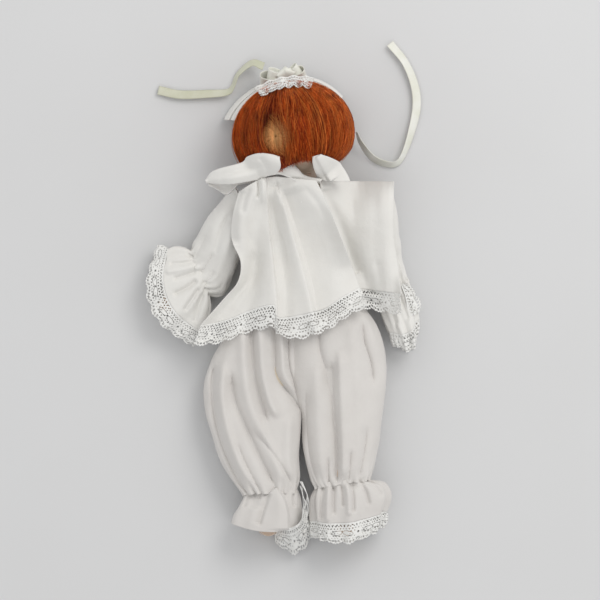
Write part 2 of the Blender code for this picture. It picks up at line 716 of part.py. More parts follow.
RIBBON_RIGHT = [
    (28.2, 84.0, 9.0, 0.9), (30.5, 78.5, 5.6, 0.7), (36.0, 71.4, 3.2, 0.5), (42.5, 68.2, 3.0, 0.5),
    (48.6, 68.4, 3.0, 0.6), (52.6, 74.5, 3.0, 0.6), (56.4, 86.5, 2.6, 0.4), (58.4, 97.5, 2.2, 0.2),
    (57.2, 108.0, 2.2, 0.3), (52.6, 119.0, 2.2, 0.4), (45.0, 128.5, 1.6, 0.3),
]
RIBBON_LEFT = [
    (-18.2, 116.8, 9.0, 0.3), (-24.0, 118.6, 6.5, 0.5), (-31.0, 113.0, 4.4, 0.7), (-33.6, 107.0, 3.4, 0.7),
    (-36.6, 104.0, 3.0, 0.5), (-45.7, 103.2, 2.2, 0.3), (-60.0, 102.8, 1.8, 0.2), (-71.0, 105.0, 1.4, 0.1),
]


def smooth_route(points, count):
    """A Catmull-Rom curve through a route's own points."""
    points = [Vector(point) for point in points]
    padded = [points[0] * 2 - points[1]] + points + [points[-1] * 2 - points[-2]]
    route = []
    for step in range(count):
        place = step / (count - 1) * (len(points) - 1)
        piece = min(int(place), len(points) - 2)
        t = place - piece
        a, b, c, d = padded[piece:piece + 4]
        route.append(0.5 * ((2 * b) + (c - a) * t + (2 * a - 5 * b + 4 * c - d) * t * t
                            + (3 * b - a - 3 * c + d) * t ** 3))
    return route


def make_ribbon(name, route, joint, count):
    places = smooth_route(route, count)
    rows = []
    for step, place in enumerate(places):
        ahead = places[min(step + 1, count - 1)] - places[max(step - 1, 0)]
        flat_side = Vector((-ahead.y, ahead.x, 0)).normalized()
        lean = place.w * math.pi / 2
        half = (flat_side * math.cos(lean) + UP * math.sin(lean)) * RIBBON_WIDTH / 2
        middle = Vector(place[:3])
        middle.z = max(middle.z, abs(half.z) + 0.8)
        rows.append([middle - half, middle + half])
    sheet_object(name, rows, "ribbon", joint, 0.4)


def make_doll():
    clear_scene()
    neck_joint = joint_empty("neck_swivel", NECK)
    make_body()
    make_smock()
    make_collars()
    make_head(neck_joint)
    make_bonnet(neck_joint)
    make_ribbon("ribbon_right", RIBBON_RIGHT, neck_joint, 26)
    make_ribbon("ribbon_left", RIBBON_LEFT, neck_joint, 20)
    for side_name in ("left", "right"):
        make_arm(side_name, joint_empty("shoulder_" + side_name, LIMBS["arm_" + side_name]["pivot"]))
        make_leg(side_name, joint_empty("hip_" + side_name, LIMBS["leg_" + side_name]["pivot"]))


make_doll()
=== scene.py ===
"""The looks of the porcelain doll: cloth, lace, hair, ribbons, porcelain, camera and light.

Lengths are in millimetres of the CAD model's own frame and become metres when a mesh is made.
The doll lies face down, its head towards +Y, its back up.
"""
import json
import math

import bmesh
import bpy
import numpy as np
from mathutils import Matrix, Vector
from mathutils.bvhtree import BVHTree


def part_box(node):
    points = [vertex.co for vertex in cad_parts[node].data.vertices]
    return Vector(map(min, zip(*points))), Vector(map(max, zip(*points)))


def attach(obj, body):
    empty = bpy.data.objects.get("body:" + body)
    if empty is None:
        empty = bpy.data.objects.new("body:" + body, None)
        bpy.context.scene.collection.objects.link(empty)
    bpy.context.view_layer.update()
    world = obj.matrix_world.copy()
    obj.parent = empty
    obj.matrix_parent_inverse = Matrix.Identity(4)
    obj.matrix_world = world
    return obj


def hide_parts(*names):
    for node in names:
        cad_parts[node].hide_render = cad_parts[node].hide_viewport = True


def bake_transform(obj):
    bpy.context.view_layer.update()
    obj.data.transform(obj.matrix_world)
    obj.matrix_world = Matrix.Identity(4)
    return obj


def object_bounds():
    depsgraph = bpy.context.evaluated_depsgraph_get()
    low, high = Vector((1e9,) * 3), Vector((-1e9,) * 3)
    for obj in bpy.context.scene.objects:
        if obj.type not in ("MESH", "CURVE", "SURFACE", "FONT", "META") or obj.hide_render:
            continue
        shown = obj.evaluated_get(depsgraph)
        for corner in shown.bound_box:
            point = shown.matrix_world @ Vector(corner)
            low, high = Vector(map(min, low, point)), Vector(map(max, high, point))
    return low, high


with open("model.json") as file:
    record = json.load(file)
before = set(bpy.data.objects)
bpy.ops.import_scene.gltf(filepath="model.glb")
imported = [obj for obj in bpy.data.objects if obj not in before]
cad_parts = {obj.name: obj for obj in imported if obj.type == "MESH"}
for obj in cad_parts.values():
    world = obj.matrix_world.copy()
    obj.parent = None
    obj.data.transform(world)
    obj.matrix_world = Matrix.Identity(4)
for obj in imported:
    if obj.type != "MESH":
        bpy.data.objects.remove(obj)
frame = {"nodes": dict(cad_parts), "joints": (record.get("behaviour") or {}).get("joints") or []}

CAD_BOUNDS = [list(corner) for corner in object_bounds()]
MM = 0.001
CLOTH = 0.45                    # thickness of a cotton layer
FOLDED = 2 * CLOTH              # thickness of a collar, which is folded double
LACE = 0.22                     # thickness of the lace
SIDES = ("left", "right")

JOINTS = {joint["name"]: joint for joint in frame["joints"]}
NECK = np.array(JOINTS["neck_swivel"]["pos_m"]) / MM
HEAD_UP = np.array(JOINTS["neck_swivel"]["axis"])
HEAD_RIGHT = np.array([HEAD_UP[1], -HEAD_UP[0], 0.0])
UP = np.array([0.0, 0.0, 1.0])


def box_mm(node):
    low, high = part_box(node)
    return np.array(low) / MM, np.array(high) / MM


# The skull's middle lies between the two eyes' sides, HEAD_RISE up the neck's axis
HEAD_RISE = 25.5
HEAD_MIDDLE = NECK + HEAD_UP * HEAD_RISE - HEAD_RIGHT - UP * 0.5
SKULL = np.array([20.5, 21.5, 21.5])
HAIR = np.array([29.0, 25.0, 29.0])
HAIR_FLOOR = 1.6                # the hair is pressed flat where the head lies on the table


# Curves and grids


def smoothstep(value):
    value = np.clip(value, 0, 1)
    return value * value * (3 - 2 * value)


def unit(vectors):
    return vectors / np.linalg.norm(vectors, axis=-1, keepdims=True)


def length_of(points):
    """The length of a line through points."""
    return float(np.linalg.norm(np.diff(points, axis=0), axis=1).sum())


def spline(points, count):
    """A Catmull-Rom curve through points of any number of coordinates, even in its parameter."""
    corners = np.array(points, float)
    padded = np.vstack([2 * corners[0] - corners[1], corners, 2 * corners[-1] - corners[-2]])
    place = np.linspace(0, len(corners) - 1, count)
    piece = np.minimum(place.astype(int), len(corners) - 2)
    t = (place - piece)[:, None]
    a, b, c, d = (padded[piece + k] for k in range(4))
    return 0.5 * (2 * b + (c - a) * t + (2 * a - 5 * b + 4 * c - d) * t**2 + (3 * b - a - 3 * c + d) * t**3)


def line(points, count):
    """The same curve with its points spaced evenly along it."""
    fine = spline(points, 30 * len(points))
    travelled = np.r_[0, np.cumsum(np.linalg.norm(np.diff(fine, axis=0), axis=1))]
    places = np.linspace(0, travelled[-1], count)
    return np.stack([np.interp(places, travelled, column) for column in fine.T], 1)


def patch(top, bottom, left, right, rows, columns):
    """A Coons patch of the plan view between four edge curves; rows run from top to bottom."""
    top, bottom = line(top, columns), line(bottom, columns)
    left, right = line(left, rows), line(right, rows)
    u = np.linspace(0, 1, columns)[None, :, None]
    v = np.linspace(0, 1, rows)[:, None, None]
    across = left[:, None] * (1 - u) + right[:, None] * u
    down = top[None] * (1 - v) + bottom[None] * v
    corners = (top[0] * (1 - u) + top[-1] * u) * (1 - v) + (bottom[0] * (1 - u) + bottom[-1] * u) * v
    return across + down - corners


def tube(stations, columns, rows, roundness=2.0):
    """Rings around a soft tube.  A station is its left and right ends in plan, its middle height,
    its half height and how far its middle bows outward.  Returns points, angles and progress."""
    flat = [(*left, *right, z, half, bow) for left, right, z, half, bow in stations]
    table = spline(flat, rows)
    left, right = table[:, 0:2], table[:, 2:4]
    across = (right - left) / 2
    outward = unit(np.stack([across[:, 1], -across[:, 0]], 1))
    angle = np.linspace(0, 2 * math.pi, columns, endpoint=False)[None, :]
    cosine, sine = np.cos(angle), np.sin(angle)
    side = np.sign(cosine) * np.abs(cosine) ** (2 / roundness)
    rise = np.sign(sine) * np.abs(sine) ** (2 / roundness)
    plan = ((left + right) / 2)[:, None] + across[:, None] * side[..., None]
    plan = plan + (outward * table[:, 6:7])[:, None] * (1 - side * side)[..., None]
    z = table[:, 4:5] + table[:, 5:6] * rise
    points = np.dstack([plan, z])
    return points, angle, np.linspace(0, 1, rows)[:, None]


def grid_normals(points):
    """Unit normals of a grid whose rows are closed rings."""
    around = np.roll(points, -1, 1) - np.roll(points, 1, 1)
    normal = np.cross(around, np.gradient(points, axis=0))
    return normal / np.maximum(np.linalg.norm(normal, axis=2, keepdims=True), 1e-9)


def fold(plan, route, height, west, east, fade=0.12, sharp=False):
    """A fold's height over places of the plan view.  It follows a route that runs towards the feet
    and falls off over its own width to the west (-X) and to the east; a sharp one is a crease."""
    path = line(route, 120)
    last = len(path) - 1
    steps = np.gradient(path, axis=0)
    flat = plan.reshape(-1, 2)
    near = np.empty(len(flat), int)
    batch = 20000
    for start in range(0, len(flat), batch):
        part = flat[start:start + batch, None]
        near[start:start + batch] = ((part - path[None]) ** 2).sum(2).argmin(1)
    offset = flat - path[near]
    along = unit(steps[near])
    beside = along[:, 0] * offset[:, 1] - along[:, 1] * offset[:, 0]
    beyond = (along * offset).sum(1)
    distance = np.hypot(beside, np.where((near == 0) | (near == last), beyond, 0))
    reach = distance / np.where(beside > 0, east, west)
    share = near / last
    ends = smoothstep(share / fade) * smoothstep((1 - share) / fade) if fade else 1.0
    profile = np.exp(-reach) if sharp else np.exp(-reach * reach)
    return (height * profile * ends).reshape(plan.shape[:2])


def folds(plan, rows):
    return sum(fold(plan, *row) for row in rows)


def smooth(grid, passes):
    for _ in range(passes):
        padded = np.pad(grid, 1, mode="edge")
        grid = (padded[:-2, 1:-1] + padded[2:, 1:-1] + padded[1:-1, :-2] + padded[1:-1, 2:] + 4 * grid) / 8
    return grid


def wobble(shape, scale, seed, wrap=False):
    """Soft random relief between about -1 and 1, from a coarse random grid."""
    random = np.random.default_rng(seed)
    rows, columns = max(4, int(shape[0] / scale)), max(4, int(shape[1] / scale))
    coarse = random.uniform(-1, 1, (rows, columns))
    if wrap:
        coarse[:, -1] = coarse[:, 0]
    down = spline(coarse, shape[0])
    relief = spline(down.T, shape[1] + wrap).T
    return relief[:, :shape[1]]


def cad_tops(*nodes):
    """Heights of the upper side of CAD nodes: the surface below a place, or the nearest edge."""
    verts, faces = [], []
    for node in nodes:
        mesh = frame["nodes"][node].data
        start = len(verts)
        verts.extend(vert.co / MM for vert in mesh.vertices)
        faces.extend([start + index for index in face.vertices] for face in mesh.polygons)
    tree = BVHTree.FromPolygons(verts, faces)
    sky = 100.0

    def height(x, y):
        hit = tree.ray_cast(Vector((x, y, sky)), Vector((0, 0, -1)))[0]
        if hit is None:
            hit = tree.find_nearest(Vector((x, y, sky)))[0]
        return hit.z

    return height


def drape(plan, height, rows=11, columns=13):
    """Heights over a plan from a few samples of a CAD surface, which leave its own pleats out."""
    down = np.linspace(0, plan.shape[0] - 1, rows).astype(int)
    across = np.linspace(0, plan.shape[1] - 1, columns).astype(int)
    z = np.array([[height(*plan[row, column]) for column in across] for row in down])
    z = smooth(z, 2)
    return spline(spline(z, plan.shape[0]).T, plan.shape[1]).T


# Objects


def add_mesh(name, mesh, material):
    piece = bpy.data.objects.new(name, mesh)
    bpy.context.collection.objects.link(piece)
    mesh.materials.clear()
    mesh.materials.append(material)
    mesh.shade_smooth()
    return piece


def apply_modifiers(piece):
    shaped = piece.evaluated_get(bpy.context.evaluated_depsgraph_get())
    mesh = bpy.data.meshes.new_from_object(shaped)
    piece.modifiers.clear()
    piece.data = mesh
    return piece


def quads_of(rows, columns, wrap=False, keep=None):
    index = np.arange(rows * columns).reshape(rows, columns)
    if wrap:
        index = np.hstack([index, index[:, :1]])
    quads = np.stack([index[:-1, :-1], index[:-1, 1:], index[1:, 1:], index[1:, :-1]], -1)
    quads = quads.reshape(-1, 4)
    return quads if keep is None else quads[keep.reshape(-1)]


def surface(name, grids, material, thickness=CLOTH):
    """One object from grids of points: each entry is (points, wrap, keep)."""
    all_points, all_quads, start = [], [], 0
    for points, wrap, keep in grids:
        rows, columns = points.shape[:2]
        all_quads.append(quads_of(rows, columns, wrap, keep) + start)
        all_points.append(points.reshape(-1, 3))
        start += rows * columns
    points, quads = np.vstack(all_points), np.vstack(all_quads)
    used, packed = np.unique(quads, return_inverse=True)
    mesh = bpy.data.meshes.new(name)
    mesh.from_pydata((points[used] * MM).tolist(), [], packed.reshape(-1, 4).tolist())
    piece = add_mesh(name, mesh, material)
    if thickness:
        solidify = piece.modifiers.new("thickness", "SOLIDIFY")
        solidify.thickness = thickness * MM
        solidify.offset = 0
        apply_modifiers(piece)
    piece.data.shade_smooth()
    return piece


def stand_for(piece, node_name, slot, body=None):
    """Hides the CAD node that a piece replaces and attaches the piece to the body it rides on.  A piece
    given no body is attached to none.  The slot is not used."""
    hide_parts(node_name)
    if body:
        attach(piece, body)


def sheet_size(points):
    """The middle width and length of a grid, in metres, measured along the cloth."""
    across = np.linalg.norm(np.diff(points, axis=1), axis=2).sum(1)
    down = np.linalg.norm(np.diff(points, axis=0), axis=2).sum(0)
    return float(np.median(across)) * MM, float(np.median(down)) * MM


def area_of(points, wrap=False):
    if wrap:
        points = np.concatenate([points, points[:, :1]], 1)
    first = np.cross(points[1:, :-1] - points[:-1, :-1], points[:-1, 1:] - points[:-1, :-1])
    second = np.cross(points[1:, :-1] - points[1:, 1:], points[:-1, 1:] - points[1:, 1:])
    return float((np.linalg.norm(first, axis=2).sum() + np.linalg.norm(second, axis=2).sum()) / 2) * MM * MM


def declare_sheet(points, area=None):
    """Measures a sheet's size and area and keeps neither.  The cloth is wider than the grid by the fullness
    of its gathers.
    """
    width, length = sheet_size(points)
    flat_area = area or area_of(points)


# Materials


def shader_material(name, colour, roughness, **sockets):
    material = bpy.data.materials.new(name)
    material.use_nodes = True
    shader = material.node_tree.nodes["Principled BSDF"]
    shader.inputs["Base Color"].default_value = (*colour, 1)
    shader.inputs["Roughness"].default_value = roughness
    for socket, value in sockets.items():
        shader.inputs[socket.replace("_", " ")].default_value = value
    return material, material.node_tree, shader


def node(tree, kind, inputs=(), **settings):
    made = tree.nodes.new("ShaderNode" + kind)
    for key, value in settings.items():
        setattr(made, key, value)
    for socket, value in dict(inputs).items():
        if isinstance(value, bpy.types.NodeSocket):
            tree.links.new(value, made.inputs[socket])
        else:
            made.inputs[socket].default_value = value
    return made


def place_in_mm(tree):
    coordinates = node(tree, "TexCoord")
    scaled = node(tree, "Mapping", {"Vector": coordinates.outputs["Object"], "Scale": (1 / MM,) * 3})
    return scaled.outputs["Vector"]


def noise(tree, place, scale, detail=3.0, roughness=0.55):
    made = node(tree, "TexNoise", {"Vector": place, "Scale": scale, "Detail": detail, "Roughness": roughness})
    return made.outputs["Fac"]


def blend_colours(tree, share, first, second):
    ramp = node(tree, "ValToRGB", {"Fac": share})
    ramp.color_ramp.elements[0].color = (*first, 1)
    ramp.color_ramp.elements[1].color = (*second, 1)
    ramp.color_ramp.elements[0].position = 0.3
    ramp.color_ramp.elements[1].position = 0.7
    return ramp.outputs["Color"]


def bump(tree, shader, layers):
    """Bumps in layers of (height, depth in mm)."""
    normal = None
    for height, depth in layers:
        inputs = {"Height": height, "Distance": depth * MM, "Strength": 1.0}
        if normal is not None:
            inputs["Normal"] = normal
        normal = node(tree, "Bump", inputs).outputs["Normal"]
    tree.links.new(normal, shader.inputs["Normal"])


def remap(tree, value, start, end, first=0.0, last=1.0, kind="LINEAR"):
    """A value that goes from first to last while its input goes from start to end."""
    made = node(tree, "MapRange", {"Value": value, "From Min": start, "From Max": end, "To Min": first,
                                   "To Max": last}, interpolation_type=kind)
    return made.outputs["Result"]


def distance_from(tree, place, point):
    return node(tree, "VectorMath", {0: place, 1: tuple(point)}, operation="DISTANCE").outputs["Value"]


def mix(tree, share, first, second, blend="MIX"):
    made = node(tree, "Mix", {"Factor": share, 6: first, 7: second}, data_type="RGBA", blend_type=blend)
    return made.outputs[2]


def weave_height(tree, place, pitch):
    """Warp and weft threads, pitch millimetres apart."""
    turns = 2 * math.pi / 20 / pitch
    heights = [node(tree, "TexWave", {"Vector": place, "Scale": turns, "Distortion": 0.6, "Detail": 1.0,
                                      "Detail Scale": 1.5}, bands_direction=way).outputs["Fac"]
               for way in ("X", "Y")]
    return node(tree, "Math", {0: heights[0], 1: heights[1]}, operation="MULTIPLY").outputs[0]


def fabric(name, light, shade, roughness, patches, bumps, **sockets):
    """Cloth in patches of two close tones.  bumps makes the relief's layers from the tree and place."""
    material, tree, shader = shader_material(name, light, roughness, **sockets)
    place = place_in_mm(tree)
    colour = blend_colours(tree, noise(tree, place, *patches), light, shade)
    tree.links.new(colour, shader.inputs["Base Color"])
    bump(tree, shader, bumps(tree, place))
    return material


def cotton(name, light, shade, pitch=0.42, thread_depth=0.035):
    def bumps(tree, place):
        return [(noise(tree, place, 0.16, 5.0, 0.6), 0.30), (noise(tree, place, 1.4), 0.05),
                (weave_height(tree, place, pitch), thread_depth)]

    return fabric(name, light, shade, 0.88, (0.07, 4.0), bumps, Sheen_Weight=0.25, Sheen_Roughness=0.5,
                  Specular_IOR_Level=0.2)


def lace_thread(name, light, shade):
    def bumps(tree, place):
        return [(noise(tree, place, 3.0, 4.0), 0.12), (weave_height(tree, place, 0.35), 0.05)]

    return fabric(name, light, shade, 0.8, (0.5,), bumps, Sheen_Weight=0.3, Specular_IOR_Level=0.25)


def satin(name, light, shade):
    def bumps(tree, place):
        return [(noise(tree, place, 0.5, 4.0), 0.10), (weave_height(tree, place, 0.22), 0.012)]

    return fabric(name, light, shade, 0.42, (0.12,), bumps, Sheen_Weight=0.15, Specular_IOR_Level=0.45)


CROWN_SPOT = HEAD_MIDDLE + HEAD_RIGHT * -8.8 + HEAD_UP * 0.3 + UP * 27.5
PARTING = CROWN_SPOT + HEAD_UP * 12.0 - HEAD_RIGHT * 2.5


def hair_colour(name, tone, crown_tone, roughness=0.42):
    """Hair that pales towards the thin place at the crown, with streaks along each strand."""
    material, tree, shader = shader_material(name, tone, roughness, Specular_IOR_Level=0.12)
    place = place_in_mm(tree)
    beyond_crown = remap(tree, distance_from(tree, place, CROWN_SPOT), 1.5, 8.5)
    pale = mix(tree, beyond_crown, (*crown_tone, 1), (*tone, 1))
    streaks = node(tree, "Mapping", {"Vector": place, "Scale": (0.34, 0.04, 0.2)}).outputs["Vector"]
    streak = remap(tree, noise(tree, streaks, 1.0, 4.0, 0.65), 0.34, 0.66, 0.62, 1.32)
    shadow = remap(tree, distance_from(tree, place, PARTING), 1.0, 11.0, 0.55, 1.0, "SMOOTHSTEP")
    depth = node(tree, "Math", {0: streak, 1: shadow}, operation="MULTIPLY").outputs[0]
    tree.links.new(mix(tree, 1.0, pale, depth, "MULTIPLY"), shader.inputs["Base Color"])
    return material


COTTON = cotton("cotton", (0.765, 0.755, 0.725), (0.735, 0.72, 0.688))
PANTS_COTTON = cotton("pants_cotton", (0.665, 0.643, 0.618), (0.635, 0.61, 0.585))
MUSLIN = cotton("muslin", (0.70, 0.62, 0.50), (0.62, 0.54, 0.42), pitch=0.6, thread_depth=0.08)
LACE_THREAD = lace_thread("lace", (0.84, 0.838, 0.815), (0.79, 0.785, 0.76))
# one satin twice: the left ribbon's darker, yellower copy is painted shade
RIBBONS = {"right": satin("ribbon_pale", (0.78, 0.778, 0.735), (0.70, 0.70, 0.61)),
           "left": satin("ribbon_painted_shade", (0.60, 0.60, 0.49), (0.52, 0.525, 0.39))}
BOW_SATIN = satin("bow_satin", (0.80, 0.798, 0.735), (0.74, 0.738, 0.66))
THREAD = lace_thread("thread", (0.78, 0.74, 0.66), (0.66, 0.62, 0.54))
STUFFING = lace_thread("stuffing", (0.84, 0.83, 0.80), (0.74, 0.73, 0.70))
CARD = lace_thread("card", (0.55, 0.45, 0.33), (0.45, 0.36, 0.26))
NET = lace_thread("net", (0.36, 0.16, 0.07), (0.25, 0.09, 0.04))


def face_paint():
    """Blush, lips and brows: middle, radii, colour, strength and where the soft edge starts."""
    blush = [((9.5 * side, -6.0, -16.0), (5.5, 4.5, 9.0), (0.80, 0.36, 0.27), 0.45, 0.0) for side in (-1, 1)]
    lips = [((0.0, -9.55, -22.0), (3.3, 0.95, 5.0), (0.55, 0.10, 0.09), 0.9, 0.75),
            ((0.0, -10.95, -22.0), (2.5, 0.95, 5.0), (0.60, 0.13, 0.11), 0.9, 0.75)]
    brows = [((7.4 * side, 6.7, -19.0), (3.9, 0.55, 7.0), (0.20, 0.08, 0.04), 0.85, 0.6) for side in (-1, 1)]
    return blush + lips + brows


def porcelain(name):
    """Matt bisque with a soft blush, a painted mouth and brows on the face."""
    material, tree, shader = shader_material(name, (0.62, 0.50, 0.42), 0.34, Coat_Weight=0.12,
                                             Coat_Roughness=0.35, Subsurface_Weight=0.05)
    shader.inputs["Subsurface Radius"].default_value = (0.8, 0.4, 0.25)
    shader.inputs["Subsurface Scale"].default_value = 2 * MM
    coordinates = node(tree, "TexCoord")
    tilt = math.atan2(HEAD_RIGHT[1], HEAD_RIGHT[0])
    face = node(tree, "Mapping", {"Vector": coordinates.outputs["Object"], "Scale": (MM,) * 3,
                                  "Location": tuple(HEAD_MIDDLE * MM), "Rotation": (0, 0, tilt)},
                vector_type="TEXTURE")
    cloud = noise(tree, place_in_mm(tree), 0.25, 5.0)
    colour = blend_colours(tree, cloud, (0.62, 0.485, 0.38), (0.56, 0.42, 0.315))
    for middle, radii, paint, strength, edge in face_paint():
        shifted = node(tree, "VectorMath", {0: face.outputs["Vector"], 1: middle}, operation="SUBTRACT")
        scaled = node(tree, "VectorMath", {0: shifted.outputs[0], 1: radii}, operation="DIVIDE")
        away = node(tree, "VectorMath", {0: scaled.outputs[0]}, operation="LENGTH").outputs["Value"]
        share = remap(tree, away, edge, 1.0, strength, 0.0, "SMOOTHSTEP")
        colour = mix(tree, share, colour, (*paint, 1))
    tree.links.new(colour, shader.inputs["Base Color"])
    bump(tree, shader, [(noise(tree, place_in_mm(tree), 2.5, 3.0), 0.015)])
    return material


PORCELAIN = porcelain("porcelain")


# Camera, light and floor


def make_studio():
    distance, view_width, sensor = 9000.0, 300.0, 36.0
    subject_height = 12.0
    camera = bpy.data.objects.new("camera", bpy.data.cameras.new("camera"))
    camera.location = (0, 0, distance * MM)
    camera.data.sensor_width = sensor
    camera.data.lens = sensor * (distance - subject_height) / view_width
    bpy.context.collection.objects.link(camera)
    scene = bpy.context.scene
    scene.camera = camera
    scene.view_settings.view_transform = "Standard"

    world = bpy.data.worlds.new("studio")
    world.use_nodes = True
    background = world.node_tree.nodes["Background"]
    background.inputs["Color"].default_value = (1.0, 1.0, 1.0, 1)
    background.inputs["Strength"].default_value = 0.80
    scene.world = world

    softbox = bpy.data.lights.new("softbox", "AREA")
    softbox.shape = "DISK"
    softbox.size = 0.7
    softbox.energy = 5.2
    softbox.color = (1.0, 0.985, 0.96)
    lamp = bpy.data.objects.new("softbox", softbox)
    lamp.location = (0.5, 0.64, 0.95)
    lamp.rotation_euler = Vector(lamp.location).to_track_quat("Z", "Y").to_euler()
    bpy.context.collection.objects.link(lamp)

    mesh = bpy.data.meshes.new("floor")
    body = bmesh.new()
    bmesh.ops.create_grid(body, x_segments=1, y_segments=1, size=4.0)
    body.to_mesh(mesh)
    body.free()
    tone, shade = (0.652, 0.655, 0.66), (0.64, 0.642, 0.645)
    paper, tree, shader = shader_material("paper", tone, 0.9, Specular_IOR_Level=0.15)
    place = place_in_mm(tree)
    colour = blend_colours(tree, noise(tree, place, 0.01, 2.0), tone, shade)
    tree.links.new(colour, shader.inputs["Base Color"])
    bump(tree, shader, [(noise(tree, place, 1.0), 0.01)])
    floor = add_mesh("floor", mesh, paper)
    below_cad = 0.2
    floor.location.z = CAD_BOUNDS[0][2] - below_cad * MM


# Lace

LACE_CELL = 0.27
LACE_FILL = 0.8                 # the share of a lace strip that is thread
MOTIF = 15.2                    # from one flower to the next, two scallops long


def lace_keep(shape, run, depth, scallop=MOTIF / 2, edge_depth=1.5):
    """Which cells of a lace strip are thread.  run and depth are its millimetres along and across;
    row 0 is the sewn edge."""
    s = (np.arange(shape[1] - 1) + 0.5) / (shape[1] - 1) * run
    t = (np.arange(shape[0] - 1) + 0.5) / (shape[0] - 1) * depth
    s, t = np.meshgrid(s, t)
    full_turn, picot = 2 * math.pi, 1.52
    rim = depth - edge_depth * (1 - np.abs(np.sin(math.pi * s / scallop)))
    small = depth - rim
    rim = rim - 0.35 * (np.sin(full_turn * s / picot) < -0.2)
    inside = t < rim
    # net ground: holes in rows that are shifted by half a pitch
    pitch = 1.45
    row_pitch = pitch * 0.87
    row = np.floor(t / row_pitch)
    open_work = 0.36 + 0.07 * np.sin(s / 5.3) + 0.05 * np.sin(s / 2.3 + t)
    net = np.hypot((s + row * pitch / 2) % pitch - pitch / 2, (t % row_pitch) - pitch * 0.435) < open_work
    # flowers with solid petals in a ring of open work
    around = (s % MOTIF) - MOTIF / 2
    up = t - depth * 0.50
    radius = np.hypot(around, up)
    turn = np.arctan2(up, around)
    petals = radius < 1.9 + 0.75 * np.cos(5 * turn)
    eye = radius < 0.55
    halo = (radius < 3.9) & (np.abs(np.sin(5 * turn + radius * 0.5)) > 0.35) & (radius > 2.6)
    # leaves between the flowers, each with a vein and a gap around it
    leaf_side = np.abs(((s + MOTIF / 2) % MOTIF) - MOTIF / 2)
    leaf_rise = t - depth * 0.45 - leaf_side * 0.18
    leaf = ((leaf_side - 2.6) / 2.3) ** 2 + (leaf_rise / 0.95) ** 2 < 1
    vein = np.abs(leaf_rise) < 0.16
    gap = ((leaf_side - 2.6) / 2.6) ** 2 + (leaf_rise / 1.25) ** 2 < 1
    # two bands of thread: at the seam and inside the scallops, with eyelets between them
    seam = t < 0.9
    eyelets = (np.abs(t - 1.4) < 0.22) & (np.sin(full_turn * s / 1.9) > 0.4)
    band = (t > depth - 2.6 - small) & (t < depth - 2.0 - small)
    picots = (np.abs(t - (depth - 1.35 - small)) < 0.45) & (np.sin(full_turn * s / picot) > 0.0)
    holes = (net & ~seam & ~band) | (gap & ~leaf)
    holes = (holes & ~(leaf & ~vein)) | (halo & net)
    holes = (holes & ~petals) | eye | eyelets | picots
    holes = holes & ~(band & ~eye)
    edging = 0.45
    return inside & ~(holes & (t <= rim - edging) & (t >= edging))


def lace_counts(run, depth):
    return max(6, int(depth / LACE_CELL)) + 1, max(8, int(run / LACE_CELL)) + 1


def lace_strip(name, points, run, depth):
    """An open strip of lace over a grid with the counts that run and depth ask for."""
    return surface(name, [(points, False, lace_keep(points.shape[:2], run, depth))], LACE_THREAD, LACE)


# Trunk of the doll's clothes

CHEST_FOLDS = [
    # route towards the hem, height, west width, east width, fade at the ends
    ([(-17.5, 62), (-16, 39), (-14.0, 20), (-12.2, 4), (-11.8, -16)], 4.0, 7.5, 0.55, 0.03),
    ([(-13.0, 60), (-11.0, 40), (-8.6, 20), (-7.0, 4), (-7.0, -18)], -2.4, 2.6, 3.8, 0.05),
    ([(-11.2, 58), (-6.5, 40.8), (-0.7, 21.7), (3.1, 7.4), (6.6, -8), (7.4, -18)], 3.0, 4.4, 0.7, 0.08),
    ([(-8.0, 56), (-3.0, 40), (2.4, 22), (6.6, 6), (9.4, -12)], -3.2, 1.5, 11.0, 0.08),
    ([(-21.5, 60), (-25, 46), (-27.5, 30), (-28.5, 14), (-35, -2), (-44, -18)], 1.6, 3.0, 4.5, 0.1),
    ([(-21.2, 61), (-21.0, 55), (-21.6, 50)], -2.0, 0.7, 0.9, 0.2),
    ([(-18.6, 61), (-18.4, 54), (-18.8, 48)], 1.0, 0.8, 0.9, 0.2),
    ([(-12.6, 61), (-9.6, 52), (-8.0, 46)], -1.0, 0.8, 0.9, 0.2),
    ([(-24.5, 57), (-27.6, 49), (-29.0, 42)], -1.2, 1.4, 1.6, 0.2),
    ([(-23, 26), (-22, 8), (-26, -6), (-30, -20)], -1.8, 3.6, 3.0, 0.15),
    ([(1, 57.5), (9, 48), (14, 38)], -0.6, 1.6, 1.8, 0.2),
    ([(-30, 57), (-34, 42), (-34.5, 27)], -3.6, 6.0, 3.6, 0.12),
]

LEFT_HEM = [(-49.5, -12.5), (-42, -11.2), (-34, -8.9), (-23.7, -4.6), (-13.2, -2.4), (-11.4, -8.4),
            (-2.6, -7.9), (6, -6), (12.7, -4.1), (21.3, 1.6), (29.9, 6.4)]
LEFT_LACE_EDGE = [(-53.6, -23.0), (-46, -22.8), (-38, -21.2), (-27, -17.0), (-13.4, -14.4), (-11.2, -17.6),
                  (-1.0, -20.0), (8, -17.6), (15, -14.8), (24.2, -8.4), (34.5, -3.4)]
RIGHT_HEM = [(20.5, 5.0), (30, 5.6), (41, 4.4), (50.2, 3.0)]
RIGHT_LACE_EDGE = [(22.0, -5.0), (31, -4.6), (41, -6.4), (50.6, -7.8)]

PLACKET = [(8.0, 59.6), (12.7, 50.4), (19.4, 34.1), (24.2, 21.7), (29.9, 6.4), (34.5, -3.4)]
LEFT_TOP = cad_tops("smock_back_left", "hem_lace_back_left")
RIGHT_TOP = cad_tops("smock_back_right", "hem_lace_back_right")
RIGHT_FOLDS = [
    ([(11.5, 56), (16.5, 45), (23.0, 28), (28.5, 12)], -2.0, 2.0, 3.0, 0.05),
    ([(44.0, 59), (44.2, 40), (44.6, 24), (46.5, 6)], 0.7, 6.0, 2.4, 0.0),
    ([(38, 22), (40, 12), (41, 3)], -0.8, 2.0, 2.4, 0.25),
]


